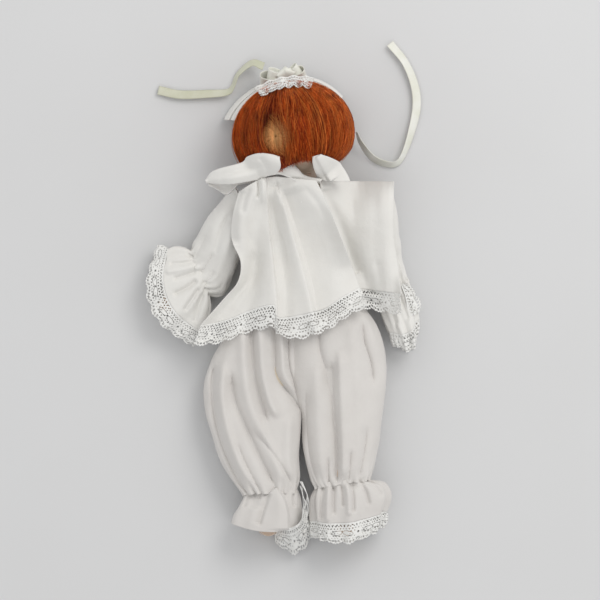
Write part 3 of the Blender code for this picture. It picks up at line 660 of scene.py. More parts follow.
def left_back(plan):
    """Heights of the left back panel, which lies over the right one."""
    z = drape(plan, LEFT_TOP) - CLOTH / 2 + folds(plan, CHEST_FOLDS)
    # the loose right edge stands a little off the panel below it
    return z + fold(plan, PLACKET, 4.2, 16.0, 3.0, 0) + 0.6


def right_back(plan):
    """Heights of the right back panel, which dips under the left one."""
    z = drape(plan, RIGHT_TOP) - CLOTH / 2 + folds(plan, RIGHT_FOLDS)
    z = z + 2.5 * smoothstep((plan[..., 0] - 36) / 10) + 2.2 * smoothstep((36 - plan[..., 1]) / 32)
    edge = line(PLACKET, 60)
    placket_x = np.interp(plan[..., 1], edge[::-1, 1], edge[::-1, 0])
    below = left_back(plan) - 1.6
    share = smoothstep((placket_x + 2.5 - plan[..., 0]) / 2.0)
    return np.minimum(z, below) * share + z * (1 - share)


def hem_lace(side, hem, edge, run, depth, back, turns, wave, drop):
    """Lace sewn to a back hem, which waves more and lies lower towards its scalloped edge."""
    rows, columns = lace_counts(run, depth)
    share = np.linspace(0, 1, rows)[:, None, None]
    plan = line(hem, columns)[None] * (1 - share) + line(edge, columns)[None] * share
    ripple = np.sin(np.linspace(0, turns, columns))[None] * share[..., 0] * wave
    points = np.dstack([plan, back(plan) + ripple - drop * share[..., 0]])
    lace = lace_strip("hem_lace_back_" + side + "_net", points, run, depth)
    stand_for(lace, "hem_lace_back_" + side, "lace", "torso")
    declare_sheet(points, area=area_of(points) * LACE_FILL)


def make_left_back():
    neckline = [(-30.5, 54), (-25, 57.5), (-19, 60.5), (-13, 61.5), (-6, 61), (0, 60.4), PLACKET[0]]
    armhole = [neckline[0], (-33.5, 42), (-34, 30), (-29.6, 19), (-31, 9), (-38, 0.5), LEFT_HEM[0]]
    plan = patch(neckline, LEFT_HEM, armhole, PLACKET[:-1], 180, 190)
    points = np.dstack([plan, left_back(plan) + 0.3 * wobble(plan.shape[:2], 22, 11)])
    panel = surface("smock_back_left_cloth", [(points, False, None)], COTTON)
    stand_for(panel, "smock_back_left", "cotton", "torso")
    declare_sheet(points)
    hem_lace("left", LEFT_HEM, LEFT_LACE_EDGE, run=92.0, depth=12.0, back=left_back, turns=38, wave=0.5,
             drop=0.7)


def make_right_back():
    neckline = [(9.6, 59.5), (20, 59.4), (32, 59.3), (46.9, 59.2)]
    inner_edge = [neckline[0], (12, 46), (16, 26), RIGHT_HEM[0]]
    armhole = [neckline[-1], (46.7, 48), (46.6, 34), (48.1, 22), (50.6, 3.0)]
    plan = patch(neckline, RIGHT_HEM, inner_edge, armhole, 150, 120)
    points = np.dstack([plan, right_back(plan) + 0.2 * wobble(plan.shape[:2], 30, 12)])
    panel = surface("smock_back_right_cloth", [(points, False, None)], COTTON)
    stand_for(panel, "smock_back_right", "cotton", "torso")
    declare_sheet(points)
    hem_lace("right", RIGHT_HEM, RIGHT_LACE_EDGE, run=31.0, depth=11.0, back=right_back, turns=14, wave=0.7,
             drop=0.5)


def make_front():
    """The front of the smock and its lace lie flat under the doll."""
    (west, south, _), (east, north, _) = box_mm("smock_front")
    plan = patch([(west + 5, north), (2, north + 0.5), (east - 4, north)],
                 [(west, south), (2, south - 0.4), (east, south)],
                 [(west + 5, north), (west + 2, 20), (west, south)],
                 [(east - 4, north), (east - 2, 20), (east, south)], 90, 90)
    points = np.dstack([plan, 0.5 + 0.25 * np.abs(wobble(plan.shape[:2], 12, 13))])
    front = surface("smock_front_cloth", [(points, False, None)], COTTON, 0.4)
    stand_for(front, "smock_front", "cotton", "torso")
    declare_sheet(points)

    (west, south, _), (east, north, _) = box_mm("hem_lace_front")
    run, depth = east - west, north - south
    plan = patch([(west + 2, north), (2, north - 0.4), (east - 2, north)],
                 [(west, south), (2, south), (east, south)],
                 [(west + 2, north), (west, south)],
                 [(east - 2, north), (east, south)], *lace_counts(run, depth))
    points = np.dstack([plan, 0.45 + 0.2 * np.abs(wobble(plan.shape[:2], 20, 14))])
    lace = lace_strip("hem_lace_front_net", points, run, depth)
    stand_for(lace, "hem_lace_front", "lace", "torso")
    declare_sheet(points, area=area_of(points) * LACE_FILL)


# Gathered tubes: sleeves, cuffs, pantaloons and ankle ruffles


def puckers(angle, progress, count, seed, size, from_end, length):
    """Small folds around a tube that fade away from the gather at one of its ends."""
    random = np.random.default_rng(seed)
    away = (1 - progress if from_end else progress) * length
    relief = 0
    for share in (1.0, 1.45, 0.62):
        turns = round(count * share)
        lean = random.uniform(-0.05, 0.05)
        relief = relief + np.cos(turns * angle + random.uniform(0, 6.28) + lean * away) / (1 + abs(share - 1))
    return size * relief / 2 * np.exp(-away / 6.0)


def push_out(points, relief):
    """Moves the points of a tube outwards by a relief."""
    normal = grid_normals(points)
    centre = points.mean(axis=1, keepdims=True)
    outward = np.sign((normal * (points - centre)).sum(2, keepdims=True))
    outward = np.where(np.median(outward) >= 0, 1.0, -1.0)
    return points + normal * outward * relief[..., None]


def settle(points):
    """Keeps cloth on the floor instead of below it."""
    points[..., 2] = np.maximum(points[..., 2], CLOTH / 2 + 0.1)
    return points


def pivot_of(limb, side):
    """The joint of an arm or a leg, in metres."""
    return np.array(JOINTS[{"arm": "shoulder_", "leg": "hip_"}[limb] + side]["pos_m"])


PANTS = {
    "left": [
        ((-27.5, -2), (1.0, -2), 12.6, 10.2, 0), ((-35.5, -12), (0.8, -12), 12.6, 11.6, 0),
        ((-39.8, -21.8), (0.6, -22), 12.6, 11.9, 0), ((-44.2, -31), (0.4, -31), 12.6, 12.0, 0),
        ((-47.6, -42), (0.5, -42), 12.6, 12.0, 0), ((-47.2, -54.4), (0.6, -54), 12.6, 12.0, 0),
        ((-44.3, -66), (0.2, -66), 12.8, 11.9, 0), ((-40.2, -78.5), (-0.6, -78), 13.4, 11.3, 0),
        ((-33.8, -90.2), (-0.4, -89), 14.8, 9.4, 0), ((-27.6, -97.0), (-2.6, -96.6), 15.6, 7.4, 0),
    ],
    "right": [
        ((-6.4, -2), (31, -2), 12.6, 10.2, 0), ((-7.0, -12), (37.5, -12), 12.6, 11.6, 0),
        ((-7.4, -22), (41.2, -21.5), 12.6, 12.1, 0), ((-6.4, -34), (42.8, -32), 12.6, 12.2, 0),
        ((-2.6, -47), (42.6, -45), 12.6, 12.1, 0), ((0.9, -58), (41.2, -58), 12.7, 12.0, 0),
        ((1.4, -70), (39.8, -69), 13.0, 11.6, 0), ((3.0, -81), (37.8, -79), 14.0, 10.4, 0),
        ((5.6, -90.4), (36.2, -86.4), 15.2, 8.6, 0), ((8.2, -94.0), (34.6, -90.0), 15.6, 7.4, 0),
    ],
}

PANTS_FOLDS = {
    "left": [
        ([(-42.9, -30), (-43.6, -47), (-40.8, -65), (-34.5, -82), (-26, -97)], -3.2, 1.6, 1.2, 0.12, True),
        ([(-38, -28), (-39, -47), (-36.5, -64), (-30.5, -81), (-23, -96)], 1.6, 2.2, 2.2, 0.15),
        ([(-34.5, -34), (-32.6, -49), (-26.1, -65), (-19.8, -78.6), (-11.3, -95)], -3.0, 2.0, 1.3, 0.15,
         True),
        ([(-28.5, -12), (-27.8, -34), (-25.5, -50), (-20, -64), (-12, -80), (-6, -94)], 1.7, 3.0, 2.2, 0.1),
        ([(-24.2, -6), (-23.0, -33), (-20.3, -47), (-15.6, -62)], -3.0, 2.2, 1.0, 0.12, True),
        ([(-20.5, -6), (-19.0, -34), (-15.5, -50), (-10.5, -60)], 1.8, 1.4, 3.0, 0.1),
        ([(-12.6, -8), (-12.6, -28), (-11.5, -38), (-5, -47), (1.0, -56)], -2.8, 1.6, 1.1, 0.12, True),
        ([(-9.0, -8), (-8.8, -26), (-7.5, -38), (-1.5, -48)], 1.2, 1.6, 1.4, 0.15),
        ([(-5.8, -8), (-5.6, -30), (-3.5, -40), (0.5, -52)], -1.8, 1.0, 1.0, 0.15, True),
        ([(-24.5, -64), (-17, -72), (-9, -83), (-3, -94)], -1.6, 1.8, 1.2, 0.2, True),
        ([(-4.5, -56), (-5.5, -68), (-5, -82), (-2, -92)], 1.4, 3.0, 2.5, 0.2),
        ([(-32, -70), (-27, -82), (-19, -97)], -1.0, 1.2, 1.0, 0.2, True),
    ],
    "right": [
        ([(16, -30), (16.2, -42), (17.2, -56), (18.7, -72), (18.7, -93)], -2.9, 2.2, 1.0, 0.1, True),
        ([(19.5, -24), (20, -36), (20.8, -56), (21.6, -76), (21.5, -92)], 2.0, 1.5, 4.5, 0.12),
        ([(9.5, -8), (10.0, -24), (14.5, -39), (16, -48)], -2.0, 2.4, 1.6, 0.2, True),
        ([(8.5, -30), (8.5, -50), (9.5, -72), (11.5, -90)], 1.2, 3.6, 3.6, 0.15),
        ([(31, -8), (32, -20), (35.5, -32), (37, -44)], -2.0, 1.8, 1.6, 0.2, True),
        ([(26, -8), (27, -24), (29, -48), (29, -70), (27, -90)], 0.8, 3.4, 4.0, 0.1),
        ([(33.5, -62), (32.0, -76), (29, -91)], -1.4, 1.6, 1.4, 0.2, True),
        ([(3.0, -44), (3.4, -62), (5.0, -78), (9, -93)], -1.2, 1.4, 1.2, 0.15, True),
        ([(25.5, -74), (24.8, -84), (24.2, -92)], -1.2, 1.0, 1.0, 0.2, True),
        ([(14.2, -78), (14.2, -86), (14.8, -94)], -1.2, 0.9, 0.9, 0.2, True),
    ],
}


def make_pants():
    low, high = box_mm("pants_seat")
    seat = [((low[0] + 18, high[1]), (high[0] - 18, high[1]), 12.8, 11.0, 0),
            ((-26.0, 0), (29.0, 0), 12.8, 10.6, 0), ((-32.0, -10), (32.6, -10), 12.7, 10.0, 0),
            ((-35.0, -17), (35.4, -17), 12.6, 8.6, 0)]
    points, angle, progress = tube(seat, columns=300, rows=60)
    gathers = puckers(angle, progress, count=26, seed=3, size=0.9, from_end=False, length=34)
    points = settle(push_out(points, gathers + 0.3 * np.cos(18 * angle + 2 * progress)))
    piece = surface("pants_seat_cloth", [(points, True, None)], PANTS_COTTON)
    stand_for(piece, "pants_seat", "cotton", "torso")
    declare_sheet(points, area=area_of(points, True))

    deepest = -3.3
    for number, side in enumerate(SIDES):
        points, angle, progress = tube(PANTS[side], columns=300, rows=158, roundness=2.25)
        ankles = puckers(angle, progress, count=17, seed=21 + number, size=1.5, from_end=True, length=92)
        below = 0.7 * np.cos(11 * angle + number) * smoothstep((12 - points[..., 2]) / 8)
        points = push_out(points, ankles + below + 0.35 * wobble(points.shape[:2], 14, 31 + number, True))
        above = smoothstep((points[..., 2] - 11.0) / 6.0)
        points[..., 2] += np.maximum(1.55 * folds(points[..., :2], PANTS_FOLDS[side]), deepest) * above
        points = settle(points)
        piece = surface("pants_leg_" + side + "_cloth", [(points, True, None)], PANTS_COTTON)
        stand_for(piece, "pants_leg_" + side, "cotton")
        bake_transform(piece)
        declare_sheet(points, area=area_of(points, True))


SLEEVES = {
    "left": [
        ((-33.0, 57.5), (-22.4, 38.5), 18.4, 10.8, 0), ((-38.5, 50.5), (-26.0, 31), 16.8, 10.8, 0),
        ((-45.8, 41), (-31.0, 19.5), 14.2, 10.2, 0), ((-51.0, 32.6), (-34.8, 9.5), 10.8, 8.7, 0),
        ((-53.4, 27.6), (-38.5, 2.6), 8.9, 8.0, 0), ((-54.4, 24.6), (-47.8, 2.6), 7.8, 7.0, 0),
    ],
    "right": [
        ((27.2, 37.5), (45.6, 56), 17.6, 9.2, 0), ((28.5, 30), (48.6, 42), 15, 9.0, 0),
        ((32, 18.6), (50.0, 27.5), 12, 8.6, 0), ((36.6, 8.2), (52.0, 15.5), 9.4, 7.9, 0),
        ((39.4, 2.4), (54.0, 9.0), 7.7, 7.0, 0),
    ],
}
SLEEVE_FOLDS = {
    "left": [
        ([(-36, 50), (-42, 39), (-46, 28), (-50, 16)], 1.3, 3.0, 3.4, 0.2),
        ([(-31, 42), (-36, 28), (-40, 16), (-45, 6)], 1.1, 2.6, 2.6, 0.2),
        ([(-34, 46), (-39.5, 33), (-43, 20)], -1.3, 1.8, 1.8, 0.25),
        ([(-43, 24), (-47.0, 17), (-51, 12)], -1.3, 1.0, 1.2, 0.2, True),
        ([(-42, 15), (-46, 10), (-50.5, 7.5)], -1.3, 1.0, 1.2, 0.2, True),
        ([(-46, 33), (-50, 26), (-53, 20)], -1.2, 1.2, 1.2, 0.2, True),
    ],
    "right": [
        ([(40, 30), (44, 18), (46.5, 6)], 1.0, 2.0, 2.0, 0.2),
        ([(48, 26), (49.5, 16), (50, 7)], -1.2, 1.2, 1.2, 0.2, True),
    ],
}
RUFFLES = {
    "cuff_left": [
        ((-53.2, 24.4), (-45.0, 3.4), 7.9, 6.3, 0), ((-54.6, 24.4), (-45.6, 1.4), 7.9, 7.2, 0),
        ((-58.2, 26.4), (-44.6, -4.0), 8.2, 7.8, 2.0), ((-62.4, 27.0), (-45.4, -10.6), 8.2, 7.8, 6.0),
        ((-65.4, 25.8), (-47.6, -16.4), 8.0, 7.6, 10.4),
    ],
    "cuff_right": [
        ((39.8, 3.8), (53.4, 10.0), 7.7, 6.2, 0), ((39.4, 2.0), (54.0, 8.6), 7.7, 7.0, 0),
        ((40.4, -4.6), (56.4, 2.4), 7.9, 7.6, 0.8), ((42.4, -10.4), (58.0, -3.6), 7.9, 7.6, 2.4),
        ((44.8, -15.6), (58.6, -9.4), 7.8, 7.4, 4.4),
    ],
    "ankle_left": [
        ((-27.0, -95.0), (-2.6, -93.6), 15.6, 6.3, 0), ((-27.6, -97.4), (-1.2, -95.4), 15.6, 7.5, 0),
        ((-30.2, -102.6), (0.2, -100.4), 14.8, 9.8, 0.6), ((-33.4, -107.6), (0.4, -107.0), 13.6, 11.2, 1.6),
        ((-34.6, -111.4), (-0.6, -113.4), 12.8, 11.6, 3.4),
    ],
    "ankle_right": [
        ((8.8, -92.0), (33.6, -88.2), 15.6, 6.3, 0), ((8.0, -94.4), (35.0, -90.6), 15.6, 7.5, 0),
        ((6.0, -99.0), (42.0, -92.0), 14.8, 10.0, 0.6), ((5.6, -104.6), (44.6, -98.0), 13.6, 11.4, 1.4),
        ((6.2, -110.4), (42.2, -105.6), 12.8, 11.8, 3.0),
    ],
}
RUFFLE_LACES = {
    "cuff_left": [
        RUFFLES["cuff_left"][-1], ((-68.4, 27.6), (-49.4, -20.4), 7.8, 7.5, 12.8),
        ((-71.0, 27.4), (-53.4, -23.2), 7.5, 7.2, 14.4),
    ],
    "cuff_right": [
        RUFFLES["cuff_right"][-1], ((46.0, -19.6), (58.4, -13.0), 7.6, 7.2, 6.0),
        ((47.4, -22.4), (57.2, -17.0), 7.4, 6.9, 7.0),
    ],
    "ankle_left": [
        ((-33.8, -110.8), (-6.4, -111.6), 10.4, 8.6, 2.6), ((-31.0, -112.0), (-7.0, -113.6), 9.0, 7.6, 1.6),
        ((-27.6, -113.2), (-8.0, -115.0), 7.6, 6.4, 0.6),
    ],
    "ankle_right": [
        RUFFLES["ankle_right"][-1], ((6.4, -115.0), (42.6, -109.6), 12.5, 11.7, 4.0),
        ((7.4, -119.0), (40.0, -114.0), 12.2, 11.4, 5.4),
    ],
}
RUFFLE_FOLDS = {
    "cuff_left": [
        ([(-52.0, 20), (-58, 18.5), (-66, 18)], -1.8, 1.3, 1.3, 0.15),
        ([(-51.5, 15), (-57, 12.5), (-64, 10.5)], -1.6, 1.1, 1.2, 0.15),
        ([(-51, 10.5), (-56, 6.5), (-64, 2.5)], -1.9, 1.2, 1.4, 0.15),
        ([(-50, 6.5), (-53.5, 1), (-58.5, -6)], -1.7, 1.2, 1.2, 0.15),
        ([(-48.5, 4), (-50.5, -3), (-53, -12)], -1.7, 1.2, 1.4, 0.15),
        ([(-52.5, 17.6), (-60, 15.2), (-68, 14)], 1.3, 1.3, 1.3, 0.15),
    ],
    "cuff_right": [
        ([(44, 3.5), (46, -4), (49, -13)], -1.6, 1.1, 1.2, 0.15),
        ([(48.6, 5), (51.5, -2), (54.5, -11)], -1.6, 1.1, 1.2, 0.15),
        ([(52, 6.5), (55, 1), (57.5, -6)], -1.2, 0.8, 0.9, 0.15),
    ],
    "ankle_left": [
        ([(-15.0, -96), (-17.5, -103), (-20.5, -113)], -2.2, 2.6, 0.9, 0.1),
        ([(-24.6, -96), (-28.5, -104)], -1.4, 1.0, 1.2, 0.2),
        ([(-12.5, -93.5), (-8.6, -99), (-6.6, -106), (-6.4, -115)], 3.2, 5.5, 0.6, 0.04),
        ([(-3.4, -96), (-3.0, -104)], -1.2, 0.8, 1.0, 0.2),
        ([(-21.5, -95), (-22.0, -105)], -2.0, 3.2, 2.4, 0.25),
        ([(-19.5, -95.5), (-20.5, -100)], -1.2, 0.8, 0.8, 0.2),
    ],
    "ankle_right": [
        ([(12.2, -93), (11.0, -100), (10.5, -110)], -1.8, 1.1, 1.3, 0.1),
        ([(16.8, -92), (16.6, -101), (17.0, -108)], -1.8, 0.9, 1.1, 0.15),
        ([(20.6, -92), (21.4, -98), (21.6, -104)], -1.7, 0.8, 1.0, 0.15),
        ([(25.0, -91), (26.4, -98), (26.6, -107)], -2.0, 1.1, 1.2, 0.15),
        ([(29.2, -90), (32.5, -95), (34.8, -103)], -1.6, 1.0, 1.2, 0.15),
        ([(14.4, -93), (13.8, -101), (13.6, -111)], 1.3, 1.2, 1.2, 0.1),
        ([(23.4, -91), (24.2, -99), (24.4, -108)], 1.3, 1.2, 1.2, 0.1),
        ([(33, -90), (38, -93.5), (41.5, -99)], -1.4, 1.1, 1.2, 0.2),
    ],
}
RUFFLE_LIMBS = {"cuff": ("arm_", "forearm_"), "ankle": ("leg_", "lower_leg_")}


def ruffle(kind, side, count, seed, size):
    """A gathered ruffle with count waves that are size millimetres deep at its free edge."""
    body, limb = RUFFLE_LIMBS[kind]
    points, angle, progress = tube(RUFFLES[kind + "_" + side], columns=420, rows=70)
    flare = size * (0.25 + 0.75 * progress)
    relief = puckers(angle, progress, count * 2, seed, size * 0.9, from_end=False, length=18)
    relief = relief + flare * 0.5 * np.cos(count * angle + seed + 0.8 * progress)
    relief = relief + flare * 0.3 * np.cos((count + 4) * angle - seed)
    points = push_out(points, relief)
    above = smoothstep((points[..., 2] - 11.0) / 4.0)
    points[..., 2] += folds(points[..., :2], RUFFLE_FOLDS[kind + "_" + side]) * above
    points = settle(points)
    cloth = PANTS_COTTON if kind == "ankle" else COTTON
    node_name = kind + "_ruffle_" + side
    piece = surface(node_name + "_cloth", [(points, True, None)], cloth)
    stand_for(piece, node_name, "cotton", body + side)
    declare_sheet(points, area=area_of(points, True))


def ruffle_lace(kind, side, count, seed, size, extra=()):
    """The lace around a ruffle's edge, whose waves it carries on, with any extra strips."""
    body, limb = RUFFLE_LIMBS[kind]
    stations = RUFFLE_LACES[kind + "_" + side]
    coarse, _, _ = tube(stations, 400, 20)
    gathered = 1.15
    run = length_of(np.concatenate([coarse[-1], coarse[-1][:1]])) * gathered
    run = round(run / MOTIF) * MOTIF
    depth = float(np.median(np.linalg.norm(np.diff(coarse, axis=0), axis=2).sum(0))) + 1.0
    rows, columns = lace_counts(run, depth)
    points, angle, progress = tube(stations, columns - 1, rows)
    relief = size * 0.5 * np.cos(count * angle + seed + 0.8) + size * 0.3 * np.cos((count + 4) * angle - seed)
    relief = relief + progress * size * 0.35 * np.cos(int(count * 2.6) * angle + 2 * seed)
    points = settle(push_out(points, relief))
    keep = lace_keep((rows, columns), run, depth, scallop=run / round(run / (MOTIF / 2)), edge_depth=1.2)
    node_name = kind + "_lace_" + side
    piece = surface(node_name + "_net", [(points, True, keep), *extra], LACE_THREAD, LACE)
    stand_for(piece, node_name, "lace", body + side)
    area = area_of(points, True) + sum(area_of(grid) for grid, _, _ in extra)
    declare_sheet(points, area=area * LACE_FILL)


def lace_patch(inner, outer, heights, ripple):
    """An open strip of lace between two lines of the plan view, with heights from end to end."""
    run = length_of(line(outer, 60))
    depth = float(np.median(np.linalg.norm(line(outer, 60) - line(inner, 60), axis=1)))
    rows, columns = lace_counts(run, depth)
    share = np.linspace(0, 1, rows)[:, None]
    across = share[..., None]
    plan = line(inner, columns)[None] * (1 - across) + line(outer, columns)[None] * across
    inner_rise, outer_rise = (profile_of(row, columns) for row in heights)
    tall = inner_rise * (1 - share) + outer_rise * share
    waves = np.cos(np.linspace(0, run / 1.3, columns))[None] * ripple * (0.2 + 0.8 * share)
    waves = waves + ripple * 0.6 * wobble((rows, columns), 12, 7)
    points = settle(np.dstack([plan, tall + waves]))
    scallops = max(1, round(run / (MOTIF / 2)))
    return points, False, lace_keep((rows, columns), run, depth, scallop=run / scallops, edge_depth=1.2)


def profile_of(heights, count):
    """A smooth row of heights through a few."""
    return spline([(height,) for height in heights], count)[:, 0][None]


def make_sleeves():
    flap = lace_patch([(50.5, 7.5), (52.5, 2), (53.5, -4), (54.5, -9)],
                      [(52.5, 9.0), (58.6, 3.4), (60.4, -1.5), (60.8, -5.5)],
                      [(15, 15.5, 15.4, 14.6), (12, 11.5, 12, 11.5)], ripple=0.5)
    for number, side in enumerate(SIDES):
        points, angle, progress = tube(SLEEVES[side], columns=320, rows=150, roundness=2.1)
        relief = puckers(angle, progress, count=15, seed=41 + number, size=1.3, from_end=True, length=52)
        points = push_out(points, relief + 0.4 * wobble(points.shape[:2], 16, 51 + number, True))
        above = smoothstep((points[..., 2] - 9.0) / 5.0)
        points[..., 2] += folds(points[..., :2], SLEEVE_FOLDS[side]) * above
        points = settle(points)
        piece = surface("sleeve_" + side + "_cloth", [(points, True, None)], COTTON)
        stand_for(piece, "sleeve_" + side, "cotton")
        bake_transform(piece)
        declare_sheet(points, area=area_of(points, True))
        waves, seed = 8, 2 + number
        ruffle("cuff", side, waves, seed, size=1.5)
        ruffle_lace("cuff", side, waves, seed, size=1.6, extra=[flap] if side == "right" else [])


def make_ankles():
    inner_lace = lace_patch([(1.6, -104.5), (0.2, -110.5), (-4.2, -113.6), (-12.6, -114.2)],
                            [(6.0, -107.0), (6.4, -118.0), (-1.6, -127.6), (-12.4, -122.0)],
                            [(20, 22, 21, 12), (8, 6, 4, 4)], ripple=1.3)
    ruffle("ankle", "left", count=5, seed=5, size=0.9)
    ruffle_lace("ankle", "left", count=5, seed=5, size=0.7, extra=[inner_lace])
    ruffle("ankle", "right", count=8, seed=6, size=1.7)
    ruffle_lace("ankle", "right", count=8, seed=6, size=1.7)

    random = np.random.default_rng(12)
    hanging = []
    for _ in range(9):
        sway = random.uniform(-1.6, 1.6, 4)
        hanging.append([(0.6 + sway[0] / 2, -92 + sway[1], 20), (2.4 + sway[1], -98, 23),
                        (3.0 + sway[2], -104, 24), (1.6 + sway[3], -112 + sway[0], 21)])
    thread("ankle_threads", hanging, 0.11, "leg_left")


# Collars and the neck of the smock


def make_collars():
    leaf = patch([(-47.0, 59.6), (-42.7, 64.3), (-29.2, 68.2), (-25.9, 71.3), (-20, 72.9), (-14, 72.2),
                  (-10.2, 71)],
                 [(-47.0, 58.8), (-36.2, 58), (-28, 59), (-21, 60.2), (-16, 62), (-12.2, 62.9)],
                 [(-47.0, 59.6), (-47.0, 58.8)], [(-10.2, 71), (-9.7, 66.1), (-12.2, 62.9)], 80, 170)
    rows, columns = leaf.shape[:2]
    down = np.linspace(0, 1, rows)[:, None]
    along = np.linspace(0, 1, columns)[None]
    rest = 33 + 7 * smoothstep(along * 2.2)
    lifted = smooth(np.maximum(hair_top(leaf, 2.5), rest), 90)
    z = lifted + 1.9 * np.sin(math.pi * down) ** 0.7 - 2.5 * (1 - smoothstep(along * 5))
    z = z + folds(leaf, [
        ([(-45, 60.5), (-36, 63.0), (-26, 65.5), (-15, 66.8)], -1.0, 1.2, 2.2, 0.15),
        ([(-40, 60.0), (-30, 61.6), (-21, 63.4)], 0.6, 1.4, 1.4, 0.2),
        ([(-20.5, 71.5), (-17, 67), (-15.5, 62)], -0.9, 1.2, 1.8, 0.15),
        ([(-24.5, 70.5), (-23, 66), (-22.5, 61.5)], 0.5, 1.6, 1.6, 0.2),
    ])
    upper = np.dstack([leaf, z])
    under_plan = patch([(-46.0, 59.0), (-38, 58.6), (-30, 59.4), (-21, 61)],
                       [(-45.5, 57.2), (-41, 54.8), (-36.8, 52.6), (-33, 55), (-30, 57.6), (-21, 58.6)],
                       [(-46.0, 59.0), (-45.5, 57.2)], [(-21, 61), (-21, 58.6)], 30, 90)
    under = np.dstack([under_plan, np.full(under_plan.shape[:2], 29.5)])
    under[..., 2] += 0.5 * wobble(under_plan.shape[:2], 20, 71) + 4.5 * np.linspace(0, 1, 90)[None] ** 2
    left = surface("collar_left_cloth", [(upper, False, None), (under, False, None)], COTTON, FOLDED)
    wing = patch([(6.4, 71.4), (9, 72.2), (11.5, 72.1), (15.8, 70.6), (19.6, 68.4), (22.4, 64)],
                 [(9.6, 60.6), (13.6, 59.3), (19, 59.3), (24.8, 59.3)],
                 [(6.4, 71.4), (6.4, 68.3), (7.6, 64.2), (9.6, 60.6)],
                 [(22.4, 64), (23.8, 61.6), (24.8, 59.3)], 70, 70)
    across = np.linspace(0, 1, 70)[None]
    z = smooth(np.maximum(hair_top(wing, 2.0), 36.4), 60) + 1.6 * np.sin(math.pi * across) ** 0.7 - 1.0
    z = z + fold(wing, [(8.5, 71.5), (10.5, 67.5), (13.5, 62.5), (15.5, 59.3)], 1.6, 0.8, 3.2, 0.03)
    right_points = np.dstack([wing, z])
    right = surface("collar_right_cloth", [(right_points, False, None)], COTTON, FOLDED)
    for piece, points, name in ((left, upper, "collar_left"), (right, right_points, "collar_right")):
        stand_for(piece, name, "cotton")
        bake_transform(piece)
        area = area_of(points) + (area_of(under) if piece is left else 0)
        declare_sheet(points, area=area)

    # the bound neck edge twists up from under the left collar and ends beside the right one
    strip = patch([(-11.5, 66.4), (-5.9, 69.3), (-1.5, 65.6), (2.6, 61.8), (11.0, 60.0)],
                  [(-14.0, 62.6), (-9.5, 62.8), (-4.5, 60.8), (0.5, 58.6), (9.5, 58.4)],
                  [(-11.5, 66.4), (-14.0, 62.6)], [(11.0, 60.0), (9.5, 58.4)], 26, 90)
    across = np.linspace(0, 1, 26)[:, None]
    tall = profile_of((40.5, 42.0, 40.6, 38.6, 37.4), 90)
    bound = np.dstack([strip, tall + 1.5 * np.sin(math.pi * across) ** 0.6 - 1.2 * across])
    band = surface("neck_binding", [(bound, False, None)], COTTON, 0.8)
    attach(band, "torso")

    loose = [(-11, 63, 44.4), (-5, 61.2, 44.0), (0, 57.5, 41), (1.4, 52.5, 38.5), (0.6, 48.5, 37.6)]
    thread("loose_thread", [loose], 0.16)
    frays = [[(-6 + k, 67.5, 44.5), (-5.5 + 1.6 * k, 70 + k % 2, 46), (-6 + 2.4 * k, 72 - k % 2, 46.5)]
             for k in range(4)]
    thread("frayed_edge", frays, 0.13)


def ring_around(middle, beside, over, count, radius, flatness=1.0):
    """Points around each place of a line, from two directions across it."""
    turn = np.linspace(0, 2 * math.pi, count, endpoint=False)
    cosine, sine = np.cos(turn)[None, :, None], np.sin(turn)[None, :, None]
    ring = beside[:, None] * cosine + over[:, None] * sine * flatness
    return middle[:, None] + ring * radius


def thread(name, routes, radius, body="torso"):
    grids = []
    for route in routes:
        middle = spline(route, 40)
        ahead = np.gradient(middle, axis=0)
        beside = unit(np.cross(ahead, UP))
        over = unit(np.cross(beside, ahead))
        grids.append((ring_around(middle, beside, over, 6, radius), True, None))
    piece = surface(name, grids, LACE_THREAD, 0)
    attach(piece, body)


# Head: porcelain, eyes, wig and bonnet


def head_points(local):
    """Points given to the right, up and back of the skull's middle, in the shared frame."""
    return HEAD_MIDDLE + local[..., 0:1] * HEAD_RIGHT + local[..., 1:2] * HEAD_UP + local[..., 2:3] * UP


def hair_top(plan, proud):
    """Heights of the wig's upper side, raised by proud."""
    offset = plan - HEAD_MIDDLE[:2]
    right = offset @ HEAD_RIGHT[:2] / (HAIR[0] + proud)
    up = offset @ HEAD_UP[:2] / (HAIR[1] + proud)
    inside = np.clip(1 - right * right - up * up, 0, 1)
    return HEAD_MIDDLE[2] + (HAIR[2] + proud) * np.sqrt(inside)


FACE = [
    # right, up, width, height, outward
    (0.0, 9.5, 9.0, 5.0, 0.5), (0.0, 2.5, 1.9, 4.5, 0.9), (0.0, -2.6, 1.7, 2.2, 1.9),
    (0.0, -3.8, 2.6, 1.2, 0.7),
    (0.0, -9.4, 2.9, 0.8, 0.75), (0.0, -11.1, 2.3, 0.9, 0.75), (0.0, -10.25, 3.2, 0.3, -0.45),
    (0.0, -13.0, 2.8, 0.8, -0.5), (0.0, -16.4, 4.2, 2.8, 1.5), (0.0, -6.9, 0.9, 1.2, -0.3),
]
FACE_PAIRS = [
    # the same, for what the face has on both sides
    (7.2, 1.5, 4.2, 2.6, -1.7), (7.2, 4.3, 3.6, 0.9, 0.75), (7.2, -1.0, 3.4, 0.8, 0.45),
    (7.0, 6.4, 4.4, 1.3, 0.45),
    (9.5, -6.0, 5.0, 4.0, 1.2), (1.7, -4.6, 0.8, 0.8, 0.5), (4.6, -10.2, 1.0, 1.0, -0.25),
]


